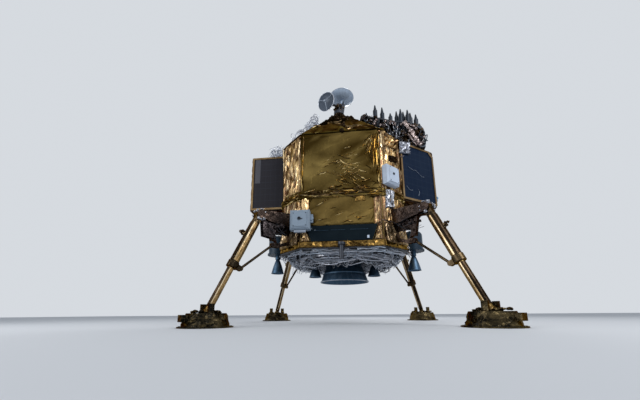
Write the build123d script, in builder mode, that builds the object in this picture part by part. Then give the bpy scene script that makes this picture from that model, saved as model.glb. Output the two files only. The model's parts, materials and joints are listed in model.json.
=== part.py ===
from build123d import *
import os
from math import asin, cos, radians, sin, sqrt

# A four-legged lunar lander, standing on its footpads.
# Millimetres. X runs to the right, Y away from the front wall, Z up.
# The origin is on the floor, under the centre of the main nozzle.

os.makedirs("parts", exist_ok=True)

# Heights of the body
deck_height = 1900.0
sill_rise = 130.0
belt_height = 3280.0
belt_gap = 30.0
eave_height = 5080.0
roof_top_height = 6560.0
sill_height = deck_height + sill_rise

# Plan of the body: an octagon with four wide walls and four narrow corner walls
wall_reach = 1690.0
wall_flat = 1060.0
roof_top_reach = 360.0
blanket = 30.0
belt_stand_out = 20.0
sill_stand_out = 15.0
deck_plate = 60.0
deck_hole_radius = 600.0

# Bunches of foil on the roof
bunch_width = 290.0
bunch_length = 230.0
bunch_rise = 60.0
bunch_root = 20.0
bunch_top_share = 0.4

# Front and back walls
upper_blanket_margin = 26.0
lower_panel_half = 830.0
radiator_height = 400.0
radiator_top_half = 900.0
radiator_bottom_half = 760.0
radiator_stand_out = 60.0
panel_gap = 6.0

# Side bays with the solar panels: the right one swept back, the left one square
bay_reach = 2780.0
bay_half_outer = 270.0
bay_half_inner = 1040.0
left_bay_half = 650.0
solar_frame_depth = 45.0
solar_frame_width = 55.0
solar_plate = 25.0
solar_inset = 20.0
solar_clip = 150.0
left_solar_clip = 20.0

# Clusters of small thrusters on the side bays
cluster_rise = 360.0
cluster_size = 110.0
cluster_throat = 22.0
cluster_mouth = 48.0
cluster_bell = 110.0

# Main engine and its nozzle
pocket_radius = 640.0
pocket_depth = 1000.0
chamber_radius = 210.0
throat_radius = 150.0
throat_height = 2360.0
nozzle_exit_height = 1170.0
nozzle_exit_radius = 705.0
nozzle_wall = 16.0
nozzle_lip = 26.0
band_width = 30.0
band_stand_out = 14.0

# Profile of every bell: share of the drop, share of the swell
BELL_PROFILE = ((0.0, 0.0), (0.20, 0.27), (0.50, 0.60), (0.80, 0.86), (1.0, 1.0))
BANDED_POINTS = (2, 3)

# Small engines, all in one line across the body
inner_nozzle_x = 880.0
inner_exit_height = 1340.0
inner_exit_radius = 185.0
inner_throat_radius = 52.0
inner_nozzle_length = 330.0
inner_valve_radius = 75.0
small_wall = 9.0
pod_x = 2060.0
pod_radius = 285.0
pod_bottom = 2050.0
pod_top = 2640.0
pod_flange = 45.0
pod_dome = 120.0
pod_flange_radius = 320.0
pod_neck_radius = 80.0
pod_neck_length = 130.0
pod_nozzle_length = 440.0
pod_exit_radius = 190.0
pod_bracket_half = 140.0

# Pipework under the deck
ring_radii = (1150.0, 1450.0)
ring_width = 60.0
ring_depth = 50.0
ring_drop = 70.0
spoke_count = 8
spoke_outer = 1560.0
spoke_width = 44.0
spoke_turn = 22.5
standoff_radius = 18.0

# Bolt circle on the underside for the launch adapter
adapter_radius = 1620.0
adapter_holes = 8
adapter_hole_radius = 9.0

# Front actuator
actuator_top = 1960.0
actuator_bottom = 1545.0
actuator_stand_off = 20.0
actuator_radius = 55.0
actuator_cap_radius = 98.0
actuator_cap = 60.0

# White equipment boxes
right_box = (480.0, 520.0, 190.0)
right_box_height = 3750.0
right_box_along = -170.0
left_box = (500.0, 510.0, 210.0)
left_box_x = -1020.0
left_box_height = 2555.0
box_bevel = 45.0
bracket_depth = 40.0
bracket_rise = 40.0

# Landing legs, in the upright plane through a body corner
foot_across = 2800.0
hinge_across = 2020.0
hinge_height = 2680.0
ankle_height = 300.0
arm_root_top = 2870.0
arm_root_bottom = 2450.0
arm_half = 120.0
web_half = 52.0
web_clearance = 10.0
web_member = 75.0
cheek = 34.0
eye_radius = 105.0
eye_half = 78.0
pin_radius = 38.0
pin_clearance = 0.3
cylinder_radius = 102.0
collar_radius = 128.0
collar_length = 150.0
cylinder_share = 0.58
piston_radius = 70.0
bore_clearance = 4.0
bore_depth = 420.0
drag_radius = 30.0
drag_eye_radius = 58.0
drag_eye_half = 34.0
drag_lug_drop = 195.0
drag_lug_web = 90.0
outer_lug_share = 0.42
outer_lug_length = 110.0
outer_lug_rise = 62.0
outer_lug_half = 30.0
arm_tip_back = 168.0
arm_tip_low = 126.0
arm_tip_high = 115.5
web_tip_back = 231.0
cheek_back = 178.5
drag_root_back = 174.0
eye_relief = 199.5
eye_neck_half = 84.0
eye_neck_length = 252.0
drag_root_out = 520.0
drag_root_height = 1965.0
ball_radius = 92.0
ball_clearance = 0.3

# Footpads
pad_radius = 550.0
pad_flange = 26.0
drum_bottom_radius = 465.0
drum_top_radius = 395.0
drum_height = 290.0
socket_ring = 30.0
socket_ring_radius = 165.0
post_reach = 250.0
post_height = 190.0
post_size = (120.0, 70.0)
pad_box = (180.0, 260.0, 140.0)
pad_box_reach = 430.0
pad_box_low = 120.0

# Roof equipment
rack_start = 750.0
rack_end = 2520.0
rack_front = -650.0
rack_back = -310.0
rack_foot = 75.0
rack_member = 45.0
rack_post = 22.0
loops_end = 2220.0
loops_step = 45.0
loop_sides = 6
loops_depth = 75.0
loops_depth_high = 112.5
thruster_neck = 34.0
thruster_body_share = 0.62
thruster_shoulder_share = 0.8
loop_tube = 16.0
loop_seat = 40.0

# Antenna on the roof
antenna_x = -50.0
mast_radius = 110.0
mast_height = 320.0
mast_wrap_radius = 300.0
mast_wrap_height = 230.0
mast_wrap_taper = 32.0
mast_flange_radius = 190.0
mast_flange = 30.0
turntable_radius = 170.0
turntable_height = 110.0
turntable_clearance = 1.0
pivot_out = 170.0
pivot_height = 530.0
yoke_half = 120.0
yoke_wall = 28.0
yoke_back = 60.0
yoke_front = 120.0
yoke_tip_half = 60.0
yoke_tip_below = 30.0
yoke_tip_above = 50.0
spindle_radius = 60.0
spindle_height = 80.0
spindle_end_gap = 5.0
running_clearance = 0.08
post_radius = 70.0
pivot_pin_radius = 24.0
pivot_pin_end = 12.0
pivot_barrel_radius = 48.0
dish_stub_radius = 55.0
main_dish_radius = 410.0
main_dish_depth = 165.0
main_dish_back = 150.0
main_dish_heading = 60.0
main_dish_lift = 82.0
second_dish_radius = 310.0
second_dish_depth = 120.0
second_arm_radius = 40.0
second_arm_start = 360.0
second_arm_end = (-360.0, -120.0, 425.0)
second_hub_radius = 60.0
second_hub_length = 60.0
second_dish_heading = 242.0
second_dish_lift = -12.0
dish_wall = 14.0
feed_strut_radius = 9.0
feed_radius = 34.0
feed_length = 70.0
feed_turns = (90, 210, 330)

CORNERS = (("front_right", 45), ("back_right", 135), ("back_left", 225), ("front_left", 315))
UP = Vector(0, 0, 1)
corner_reach = (wall_reach + wall_flat) / sqrt(2)
corner_half = (wall_reach - wall_flat) / sqrt(2)
core_reach = wall_reach - blanket
core_corner_reach = corner_reach - blanket


def outward(angle):
    """The outward direction of a wall; 0 is the front, 90 the right."""
    return Vector(sin(radians(angle)), -cos(radians(angle)), 0)


def wall_plane(angle, distance):
    """A plane on a wall, with x along the wall and y up."""
    normal = outward(angle)
    return Plane(origin=normal * distance, x_dir=normal.rotate(Axis.Z, 90), z_dir=normal)


def leg_plane(angle):
    """The upright plane through a body corner, with x outwards and y up."""
    out = outward(angle)
    return Plane(origin=(0, 0, 0), x_dir=out, z_dir=out.cross(UP))


def octagon(inset):
    """Corner points of the body's plan, moved inwards by the inset."""
    reach = wall_reach - inset
    flat = wall_flat - inset * (sqrt(2) - 1)
    quarter = [Vector(flat, -reach), Vector(reach, -flat)]
    turned = [point.rotate(Axis.Z, 90 * turn) for turn in range(4) for point in quarter]
    return [(point.X, point.Y) for point in turned]


def save(piece, name):
    piece.part.label = name
    export_step(piece.part, f"parts/{name}.step")


# Core of the body, with the pocket that holds the main engine
with BuildPart() as core_body:
    with BuildSketch(Plane.XY.offset(deck_height)):
        Polygon(*octagon(blanket), align=None)
    extrude(amount=eave_height - deck_height)
    with BuildSketch(Plane.XY.offset(belt_height)):
        Polygon(*octagon(-belt_stand_out), align=None)
    extrude(amount=belt_gap)
    with BuildSketch(Plane.XY.offset(deck_height)):
        Circle(pocket_radius)
    extrude(amount=pocket_depth, mode=Mode.SUBTRACT)
save(core_body, "core_body")

# Roof: an eight-sided taper with a small flat top, and bunches of foil on its faces
roof_top_scale = roof_top_reach / wall_reach
roof_rise = roof_top_height - eave_height

# Bunches on each kind of face: share of the face's half width, share of its slope
WIDE_BUNCHES = (
    (-0.62, 0.16),
    (0.02, 0.13),
    (0.60, 0.18),
    (-0.34, 0.41),
    (0.38, 0.43),
    (-0.50, 0.66),
    (0.48, 0.64),
    (0.04, 0.86),
)
SIDE_BUNCHES = ((0.30, 0.16), (0.78, 0.17), (0.52, 0.42), (0.30, 0.66), (0.0, 0.86))
CORNER_BUNCHES = ((0.0, 0.20), (0.0, 0.50))
ROOF_FACES = [(angle, wall_reach, wall_flat, WIDE_BUNCHES) for angle in (0, 180)]
ROOF_FACES += [(90, wall_reach, wall_flat, SIDE_BUNCHES)]
ROOF_FACES += [(270, wall_reach, wall_flat, [(-across, up) for across, up in SIDE_BUNCHES])]
ROOF_FACES += [(angle, corner_reach, corner_half, CORNER_BUNCHES) for name, angle in CORNERS]


def bunch_plane(angle, reach, half, across, up):
    """The plane of a roof face at one bunch, facing out."""
    scale = 1 - (1 - roof_top_scale) * up
    out = outward(angle)
    along = UP.cross(out)
    slope = (UP * roof_rise - out * reach * (1 - roof_top_scale)).normalized()
    origin = out * reach * scale + along * half * scale * across + UP * (eave_height + roof_rise * up)
    return Plane(origin=origin, x_dir=along, z_dir=along.cross(slope))


with BuildPart() as roof:
    with BuildSketch(Plane.XY.offset(eave_height)):
        Polygon(*octagon(0), align=None)
    with BuildSketch(Plane.XY.offset(roof_top_height)):
        Polygon(*[(x * roof_top_scale, y * roof_top_scale) for x, y in octagon(0)], align=None)
    loft(ruled=True)
    for angle, reach, half, bunches in ROOF_FACES:
        for across, up in bunches:
            plane = bunch_plane(angle, reach, half, across, up)
            with BuildSketch(plane.offset(-bunch_root)):
                Rectangle(bunch_width, bunch_length)
            with BuildSketch(plane.offset(bunch_rise)):
                Rectangle(bunch_width * bunch_top_share, bunch_length * bunch_top_share)
            loft(ruled=True)
save(roof, "roof")

# Foil blankets on the front and back walls above the belt
upper_low = belt_height + belt_gap
upper_half = wall_flat - upper_blanket_margin
with BuildPart() as upper_blankets:
    for angle in (0, 180):
        with BuildSketch(wall_plane(angle, core_reach)):
            with Locations((0, (upper_low + eave_height) / 2)):
                Rectangle(2 * upper_half, eave_height - upper_low)
        extrude(amount=blanket)
save(upper_blankets, "upper_blankets")

# Foil panels on the front and back walls below the belt
radiator_top = sill_height + radiator_height
lower_low = radiator_top + panel_gap
with BuildPart() as lower_blankets:
    for angle in (0, 180):
        with BuildSketch(wall_plane(angle, core_reach)):
            with Locations((0, (lower_low + belt_height) / 2)):
                Rectangle(2 * lower_panel_half, belt_height - lower_low)
        extrude(amount=blanket)
save(lower_blankets, "lower_blankets")

# Black radiators under the lower panels, narrower at the bottom
radiator_outline = (
    (-radiator_top_half, radiator_top),
    (-radiator_bottom_half, sill_height),
    (radiator_bottom_half, sill_height),
    (radiator_top_half, radiator_top),
)
with BuildPart() as radiators:
    for angle in (0, 180):
        with BuildSketch(wall_plane(angle, core_reach)):
            Polygon(*radiator_outline, align=None)
        extrude(amount=radiator_stand_out)
save(radiators, "radiators")

# Aprons: the foil round the lower panels, and the lower side walls
with BuildPart() as aprons:
    for angle in (0, 180):
        with BuildSketch(wall_plane(angle, core_reach)):
            with Locations((0, (sill_height + belt_height) / 2)):
                Rectangle(2 * upper_half, belt_height - sill_height)
            with Locations((0, (lower_low + belt_height) / 2)):
                Rectangle(
                    2 * (lower_panel_half + panel_gap),
                    belt_height - lower_low,
                    mode=Mode.SUBTRACT,
                )
            Polygon(
                (-radiator_top_half - panel_gap, lower_low),
                (-radiator_bottom_half - panel_gap, sill_height),
                (radiator_bottom_half + panel_gap, sill_height),
                (radiator_top_half + panel_gap, lower_low),
                align=None,
                mode=Mode.SUBTRACT,
            )
        extrude(amount=blanket)
    for angle in (90, 270):
        with BuildSketch(wall_plane(angle, core_reach)):
            with Locations((0, (sill_height + belt_height) / 2)):
                Rectangle(2 * upper_half, belt_height - sill_height)
        extrude(amount=blanket)
    strip_inner = left_bay_half + solar_frame_depth + panel_gap
    with BuildSketch(wall_plane(270, core_reach)):
        for hand in (-1, 1):
            with Locations((hand * (strip_inner + upper_half) / 2, (upper_low + eave_height) / 2)):
                Rectangle(upper_half - strip_inner, eave_height - upper_low)
    extrude(amount=blanket)
save(aprons, "aprons")

# Foil blankets on the four corner walls, above and below the belt
corner_panel_half = corner_half - upper_blanket_margin
with BuildPart() as corner_blankets:
    for name, angle in CORNERS:
        for low, high in ((sill_height, belt_height), (upper_low, eave_height)):
            with BuildSketch(wall_plane(angle, core_corner_reach)):
                with Locations((0, (low + high) / 2)):
                    Rectangle(2 * corner_panel_half, high - low)
            extrude(amount=blanket)
save(corner_blankets, "corner_blankets")

# Sill band round the foot of the body
with BuildPart() as sill_band:
    with BuildSketch(Plane.XY.offset(deck_height)):
        Polygon(*octagon(-sill_stand_out), align=None)
        Polygon(*octagon(blanket), align=None, mode=Mode.SUBTRACT)
    extrude(amount=sill_height - deck_height)
save(sill_band, "sill_band")

# Deck plate that closes the underside round the engine
with BuildPart() as underside_deck:
    with BuildSketch(Plane.XY.offset(deck_height - deck_plate)):
        Polygon(*octagon(0), align=None)
        Circle(deck_hole_radius, mode=Mode.SUBTRACT)
        with PolarLocations(adapter_radius, adapter_holes):
            Circle(adapter_hole_radius, mode=Mode.SUBTRACT)
    extrude(amount=deck_plate)
save(underside_deck, "underside_deck")

# Side bays that carry the solar panels: side, half width at the body, half width outside
BAYS = ((-1, left_bay_half, left_bay_half), (1, bay_half_inner, bay_half_outer))
with BuildPart() as side_bays:
    for side, half_inner, half_outer in BAYS:
        with BuildSketch(Plane.XY.offset(belt_height + belt_gap)):
            Polygon(
                (side * core_reach, -half_inner),
                (side * bay_reach, -half_outer),
                (side * bay_reach, half_outer),
                (side * core_reach, half_inner),
                align=None,
            )
        extrude(amount=eave_height - belt_height - belt_gap)
save(side_bays, "side_bays")

# Clusters of four small thrusters on the outer faces of the side bays
cluster_height = belt_height + cluster_rise
with BuildPart() as side_thrusters:
    for side in (-1, 1):
        block_x = side * (bay_reach + cluster_size / 2)
        with BuildSketch(Plane.XY.offset(cluster_height - cluster_size / 2)):
            with Locations((block_x, 0)):
                Rectangle(cluster_size, cluster_size)
        extrude(amount=cluster_size)
        for aim in ((0, 1, 0), (0, -1, 0), (0, 0, 1), (0, 0, -1)):
            centre = Vector(block_x, 0, cluster_height)
            root = centre + Vector(*aim) * cluster_size / 2
            with BuildSketch(Plane(origin=root, x_dir=(1, 0, 0), z_dir=aim)):
                Circle(cluster_throat)
            with BuildSketch(
                Plane(origin=root + Vector(*aim) * cluster_bell, x_dir=(1, 0, 0), z_dir=aim)
            ):
                Circle(cluster_mouth)
            loft()
save(side_thrusters, "side_thrusters")

# Solar panels and their frames on the front and back faces of the bays
solar_low = belt_height + belt_gap + solar_inset
solar_high = eave_height - solar_inset
solar_height = solar_high - solar_low


def bay_face(side, half_inner, half_outer, end):
    """The plane of a bay's front (end -1) or back (end 1) face, and the panel's length on it."""
    inner = Vector(side * core_reach, end * half_inner, 0)
    outer = Vector(side * bay_reach, end * half_outer, 0)
    along = (outer - inner).normalized()
    middle = (inner + outer) * 0.5 + UP * ((solar_low + solar_high) / 2)
    normal = along.cross(UP) * (-side * end)
    length = (outer - inner).length - 2 * solar_inset
    return Plane(origin=middle, x_dir=along, z_dir=normal), length


def solar_outline(length, clip, margin):
    """Outline of a panel, with its upper outer corner clipped."""
    half_x = length / 2 - margin
    half_y = solar_height / 2 - margin
    return (
        (-half_x, -half_y),
        (half_x, -half_y),
        (half_x, half_y - clip),
        (half_x - clip, half_y),
        (-half_x, half_y),
    )


# Panel faces: bay, front or back, size of the clipped corner
PANEL_FACES = [
    (bay, end, clip) for bay, clip in zip(BAYS, (left_solar_clip, solar_clip)) for end in (-1, 1)
]
with BuildPart() as solar_frames:
    for bay, end, clip in PANEL_FACES:
        plane, length = bay_face(*bay, end)
        flip = 1 if plane.y_dir.Z > 0 else -1
        with BuildSketch(plane):
            outline = solar_outline(length, clip, 0)
            Polygon(*[(x, y * flip) for x, y in outline], align=None)
            opening = solar_outline(length, clip, solar_frame_width)
            Polygon(*[(x, y * flip) for x, y in opening], align=None, mode=Mode.SUBTRACT)
        extrude(amount=solar_frame_depth)
save(solar_frames, "solar_frames")

with BuildPart() as solar_panels:
    for bay, end, clip in PANEL_FACES:
        plane, length = bay_face(*bay, end)
        flip = 1 if plane.y_dir.Z > 0 else -1
        with BuildSketch(plane):
            outline = solar_outline(length, clip, solar_frame_width)
            Polygon(*[(x, y * flip) for x, y in outline], align=None)
        extrude(amount=solar_plate)
save(solar_panels, "solar_panels")

# Main engine: the closed chamber in its pocket
with BuildPart() as main_engine:
    with BuildSketch(Plane.XY.offset(throat_height)):
        Circle(chamber_radius)
    extrude(amount=deck_height + pocket_depth - throat_height)
save(main_engine, "main_engine")


def bell(across, top, bottom, throat, mouth, wall, lip, bands=()):
    """Half section of a bell nozzle that hangs at a distance across the body."""
    outer = [
        (throat + (mouth - throat) * swell, top - (top - bottom) * drop)
        for drop, swell in BELL_PROFILE
    ]
    inner = [(radius - wall, height) for radius, height in outer]
    inner[0] = (throat - wall, top - wall)
    with BuildSketch(Plane.XZ.shift_origin((across, 0, 0))) as section:
        Polygon((0, top), *outer, *inner[::-1], (0, top - wall), align=None)
        with Locations((mouth, bottom + lip / 2)):
            Rectangle(lip, lip)
        for index in bands:
            radius, height = outer[index]
            with Locations((radius + (band_stand_out - wall) / 2, height)):
                Rectangle(band_stand_out + wall, band_width)
    return section.sketch


# Main nozzle: a hollow bell with a lip
with BuildPart() as main_nozzle:
    section = bell(
        0,
        throat_height,
        nozzle_exit_height,
        throat_radius,
        nozzle_exit_radius,
        nozzle_wall,
        nozzle_lip,
        BANDED_POINTS,
    )
    revolve(section, axis=Axis.Z)
save(main_nozzle, "main_nozzle")

# Inner small nozzles with their valve bodies
deck_under = deck_height - deck_plate
inner_top = inner_exit_height + inner_nozzle_length
with BuildPart() as inner_nozzles:
    for side in (-1, 1):
        section = bell(
            side * inner_nozzle_x,
            inner_top,
            inner_exit_height,
            inner_throat_radius,
            inner_exit_radius,
            small_wall,
            small_wall,
        )
        revolve(section, axis=Axis((side * inner_nozzle_x, 0, 0), (0, 0, 1)))
        with BuildSketch(Plane.XY.offset(inner_top)):
            with Locations((side * inner_nozzle_x, 0)):
                Circle(inner_valve_radius)
        extrude(amount=deck_under - inner_top)
save(inner_nozzles, "inner_nozzles")

# Engine pods on the side walls: a dark tank with a flange and a bracket to the wall
with BuildPart() as pod_tanks:
    with BuildSketch(Plane.XY.offset(pod_bottom)):
        with Locations((-pod_x, 0), (pod_x, 0)):
            Circle(pod_radius)
    extrude(amount=pod_top - pod_bottom)
    fillet(pod_tanks.edges().group_by(Axis.Z)[-1], pod_dome)
    with BuildSketch(Plane.XY.offset(pod_bottom)):
        with Locations((-pod_x, 0), (pod_x, 0)):
            Circle(pod_flange_radius)
    extrude(amount=pod_flange)
    with BuildSketch(Plane.XY.offset(pod_bottom + 2 * pod_flange)):
        for side in (-1, 1):
            with Locations((side * (wall_reach + pod_x) / 2, 0)):
                Rectangle(pod_x - wall_reach, 2 * pod_bracket_half)
    extrude(amount=pod_top - pod_dome - pod_bottom - 3 * pod_flange)
save(pod_tanks, "pod_tanks")

# Nozzles under the pods
pod_nozzle_top = pod_bottom - pod_neck_length
with BuildPart() as pod_nozzles:
    for side in (-1, 1):
        section = bell(
            side * pod_x,
            pod_nozzle_top,
            pod_nozzle_top - pod_nozzle_length,
            inner_throat_radius,
            pod_exit_radius,
            small_wall,
            small_wall,
        )
        revolve(section, axis=Axis((side * pod_x, 0, 0), (0, 0, 1)))
        with BuildSketch(Plane.XY.offset(pod_nozzle_top)):
            with Locations((side * pod_x, 0)):
                Circle(pod_neck_radius)
        extrude(amount=pod_neck_length)
save(pod_nozzles, "pod_nozzles")

# Pipework under the deck: two rings joined by short spokes, hung on standoffs
ring_low = deck_under - ring_drop - ring_depth
ring_middle = (ring_radii[0] + ring_radii[1]) / 2
with BuildPart() as pipework:
    with BuildSketch(Plane.XY.offset(ring_low)):
        Circle(ring_radii[1] + ring_width / 2)
        Circle(ring_radii[1] - ring_width / 2, mode=Mode.SUBTRACT)
        Circle(ring_radii[0] + ring_width / 2)
        with PolarLocations(ring_middle, spoke_count, start_angle=spoke_turn):
            Rectangle(spoke_outer - ring_radii[0], spoke_width)
        Circle(ring_radii[0] - ring_width / 2, mode=Mode.SUBTRACT)
    extrude(amount=ring_depth)
    with BuildSketch(Plane.XY.offset(ring_low + ring_depth)):
        with PolarLocations(ring_middle, spoke_count, start_angle=spoke_turn):
            Circle(standoff_radius)
    extrude(amount=ring_drop)
save(pipework, "pipework")

# Actuator that stands in front of the sill
actuator_y = -(wall_reach + sill_stand_out + actuator_stand_off + actuator_cap_radius)
actuator_bracket = actuator_stand_off + actuator_cap_radius
with BuildPart() as front_actuator:
    with BuildSketch(Plane.XY.offset(actuator_bottom)):
        with Locations((0, actuator_y)):
            Circle(actuator_radius)
    extrude(amount=actuator_top - actuator_bottom)
    with BuildSketch(Plane.XY.offset(actuator_top - actuator_cap)):
        with Locations((0, actuator_y)):
            Circle(actuator_cap_radius)
        with Locations((0, actuator_y + actuator_bracket / 2)):
            Rectangle(2 * actuator_radius, actuator_bracket)
    extrude(amount=actuator_cap)
save(front_actuator, "front_actuator")

# White box on the front right corner wall
with BuildPart() as corner_box_right:
    with BuildSketch(wall_plane(45, corner_reach)):
        with Locations((right_box_along, right_box_height)):
            Rectangle(right_box[0], right_box[1])
    extrude(amount=right_box[2])
    outer = corner_box_right.faces().sort_by(Axis(origin=(0, 0, 0), direction=(1, -1, 0)))[-1]
    chamfer(outer.edges(), box_bevel)
save(corner_box_right, "corner_box_right")

# White box low on the front left corner
with BuildPart() as corner_box_left:
    with BuildSketch(wall_plane(0, wall_reach + bracket_depth)):
        with Locations((left_box_x, left_box_height)):
            Rectangle(left_box[0], left_box[1])
    extrude(amount=left_box[2])
    outer = corner_box_left.faces().sort_by(Axis.Y)[0]
    chamfer(outer.edges(), box_bevel)
    with BuildSketch(wall_plane(0, wall_reach)):
        with Locations((left_box_x + left_box[0] / 4, left_box_height + bracket_rise)):
            Rectangle(left_box[0] / 3, left_box[1] / 2)
    extrude(amount=bracket_depth)
save(corner_box_left, "corner_box_left")

# Landing legs
root_two = sqrt(2)
hinge = Vector(hinge_across * root_two, hinge_height)
ankle = Vector(foot_across * root_two, ankle_height)
leg_run = ankle - hinge
leg_length = leg_run.length
leg_direction = leg_run.normalized()
inward = Vector(leg_direction.Y, -leg_direction.X)
cylinder_length = leg_length * cylinder_share
drag_lug = hinge + leg_direction * (cylinder_length - collar_length / 2) + inward * drag_lug_drop
drag_root = Vector(corner_reach + drag_root_out, drag_root_height)


def in_leg(angle, point):
    """A point of the leg's plane as a point in space."""
    return outward(angle) * point.X + UP * point.Y


for name, angle in CORNERS:
    plane = leg_plane(angle)
    side = plane.z_dir
    hinge_at = in_leg(angle, hinge)
    ankle_at = in_leg(angle, ankle)
    along = (ankle_at - hinge_at).normalized()

    # Arm: a box beam with an open web under it, and two cheeks round the hinge eye
    with BuildPart() as arm:
        with BuildSketch(plane):
            Polygon(
                (corner_reach, arm_root_top),
                (corner_reach, arm_root_bottom),
                (hinge.X - arm_tip_back, hinge.Y - arm_tip_low),
                (hinge.X - arm_tip_back, hinge.Y + arm_tip_high),
                align=None,
            )
        extrude(amount=arm_half, both=True)
        with BuildSketch(plane):
            Polygon(
                (corner_reach, arm_root_bottom + cheek),
                (corner_reach, sill_height + web_clearance),
                (drag_root.X - drag_eye_radius * 2, drag_root.Y - drag_eye_radius),
                (drag_root.X + drag_eye_radius, drag_root.Y + drag_eye_radius),
                (hinge.X - web_tip_back, hinge.Y - arm_tip_high),
                align=None,
            )
            Polygon(
                (corner_reach + web_member, arm_root_bottom + cheek),
                (corner_reach + web_member, sill_height + web_clearance + web_member),
                (drag_root.X - drag_eye_radius * 2, drag_root.Y - drag_eye_radius + web_member),
                (hinge.X - web_tip_back - web_member, hinge.Y - arm_tip_high),
                align=None,
                mode=Mode.SUBTRACT,
            )
            with Locations((drag_root.X, drag_root.Y)):
                Circle(drag_eye_radius * 2, mode=Mode.SUBTRACT)
        extrude(amount=web_half, both=True)
        for face in (-1, 1):
            cheek_plane = plane.offset(face * (arm_half - cheek))
            with BuildSketch(cheek_plane):
                with BuildLine():
                    Polyline(
                        (hinge.X, hinge.Y + eye_radius),
                        (hinge.X - cheek_back, hinge.Y + eye_radius),
                        (hinge.X - cheek_back, hinge.Y - eye_radius),
                        (hinge.X, hinge.Y - eye_radius),
                    )
                    ThreePointArc(
                        (hinge.X, hinge.Y - eye_radius),
                        (hinge.X + eye_radius, hinge.Y),
                        (hinge.X, hinge.Y + eye_radius),
                    )
                make_face()
            extrude(amount=face * cheek)
        with BuildSketch(plane):
            with Locations((hinge.X, hinge.Y)):
                Circle(pin_radius)
        extrude(amount=arm_half, both=True)
        for face in (-1, 1):
            with BuildSketch(plane.offset(face * (drag_eye_half + pin_clearance))):
                with BuildLine():
                    Polyline(
                        (drag_root.X, drag_root.Y + drag_eye_radius),
                        (drag_root.X - drag_root_back, drag_root.Y + drag_eye_radius),
                        (drag_root.X - drag_root_back, drag_root.Y - drag_eye_radius),
                        (drag_root.X, drag_root.Y - drag_eye_radius),
                    )
                    ThreePointArc(
                        (drag_root.X, drag_root.Y - drag_eye_radius),
                        (drag_root.X + drag_eye_radius, drag_root.Y),
                        (drag_root.X, drag_root.Y + drag_eye_radius),
                    )
                make_face()
            extrude(amount=face * (web_half - drag_eye_half))
        with BuildSketch(plane):
            with Locations((drag_root.X, drag_root.Y)):
                Circle(pin_radius / 2)
        extrude(amount=web_half, both=True)
    save(arm, f"leg_arm_{name}")

    # Upper cylinder: eye, tube, collar, lug for the drag strut, and the bore
    with BuildPart() as cylinder:
        with BuildSketch(Plane(origin=hinge_at, x_dir=side, z_dir=along)):
            Circle(cylinder_radius)
        extrude(amount=cylinder_length)
        with BuildSketch(plane):
            with Locations((hinge.X, hinge.Y)):
                Circle(eye_relief)
        extrude(amount=arm_half, both=True, mode=Mode.SUBTRACT)
        with BuildSketch(plane):
            with Locations((hinge.X, hinge.Y)):
                Circle(eye_radius)
            Polygon(
                tuple(hinge + inward * eye_neck_half)[:2],
                tuple(hinge - inward * eye_neck_half)[:2],
                tuple(hinge - inward * eye_neck_half + leg_direction * eye_neck_length)[:2],
                tuple(hinge + inward * eye_neck_half + leg_direction * eye_neck_length)[:2],
                align=None,
            )
        extrude(amount=eye_half, both=True)
        collar_at = hinge_at + along * (cylinder_length - collar_length)
        with BuildSketch(Plane(origin=collar_at, x_dir=side, z_dir=along)):
            Circle(collar_radius)
        extrude(amount=collar_length)
        for face in (-1, 1):
            with BuildSketch(plane.offset(face * (drag_eye_half + pin_clearance))):
                with Locations((drag_lug.X, drag_lug.Y)):
                    Circle(drag_eye_radius)
                Polygon(
                    tuple(drag_lug + leg_direction * drag_eye_radius)[:2],
                    tuple(drag_lug - leg_direction * drag_eye_radius)[:2],
                    tuple(drag_lug - leg_direction * drag_eye_radius - inward * drag_lug_web)[:2],
                    tuple(drag_lug + leg_direction * drag_eye_radius - inward * drag_lug_web)[:2],
                    align=None,
                )
            extrude(amount=face * (web_half - drag_eye_half))
        with BuildSketch(plane):
            with Locations((drag_lug.X, drag_lug.Y)):
                Circle(pin_radius / 2)
        extrude(amount=web_half, both=True)
        lug_foot = hinge + leg_direction * cylinder_length * outer_lug_share
        lug_tip = lug_foot - inward * (cylinder_radius + outer_lug_rise)
        with BuildSketch(plane):
            Polygon(
                tuple(lug_foot - leg_direction * outer_lug_length)[:2],
                tuple(lug_tip - leg_direction * outer_lug_length / 4)[:2],
                tuple(lug_tip + leg_direction * outer_lug_length / 4)[:2],
                tuple(lug_foot + leg_direction * outer_lug_length)[:2],
                align=None,
            )
        extrude(amount=outer_lug_half, both=True)
        with BuildSketch(plane):
            with Locations((hinge.X, hinge.Y)):
                Circle(pin_radius + pin_clearance)
        extrude(amount=arm_half, both=True, mode=Mode.SUBTRACT)
        end_at = hinge_at + along * cylinder_length
        with BuildSketch(Plane(origin=end_at, x_dir=side, z_dir=-along)):
            Circle(piston_radius + bore_clearance)
        extrude(amount=bore_depth, mode=Mode.SUBTRACT)
    save(cylinder, f"leg_cylinder_{name}")

    # Piston: from the bottom of the bore to the ball in the footpad
    piston_at = end_at - along * bore_depth
    with BuildPart() as piston:
        with BuildSketch(Plane(origin=piston_at, x_dir=side, z_dir=along)):
            Circle(piston_radius)
        extrude(amount=(ankle_at - piston_at).length)
        with Locations(ankle_at):
            Sphere(ball_radius)
    save(piston, f"leg_piston_{name}")

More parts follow.
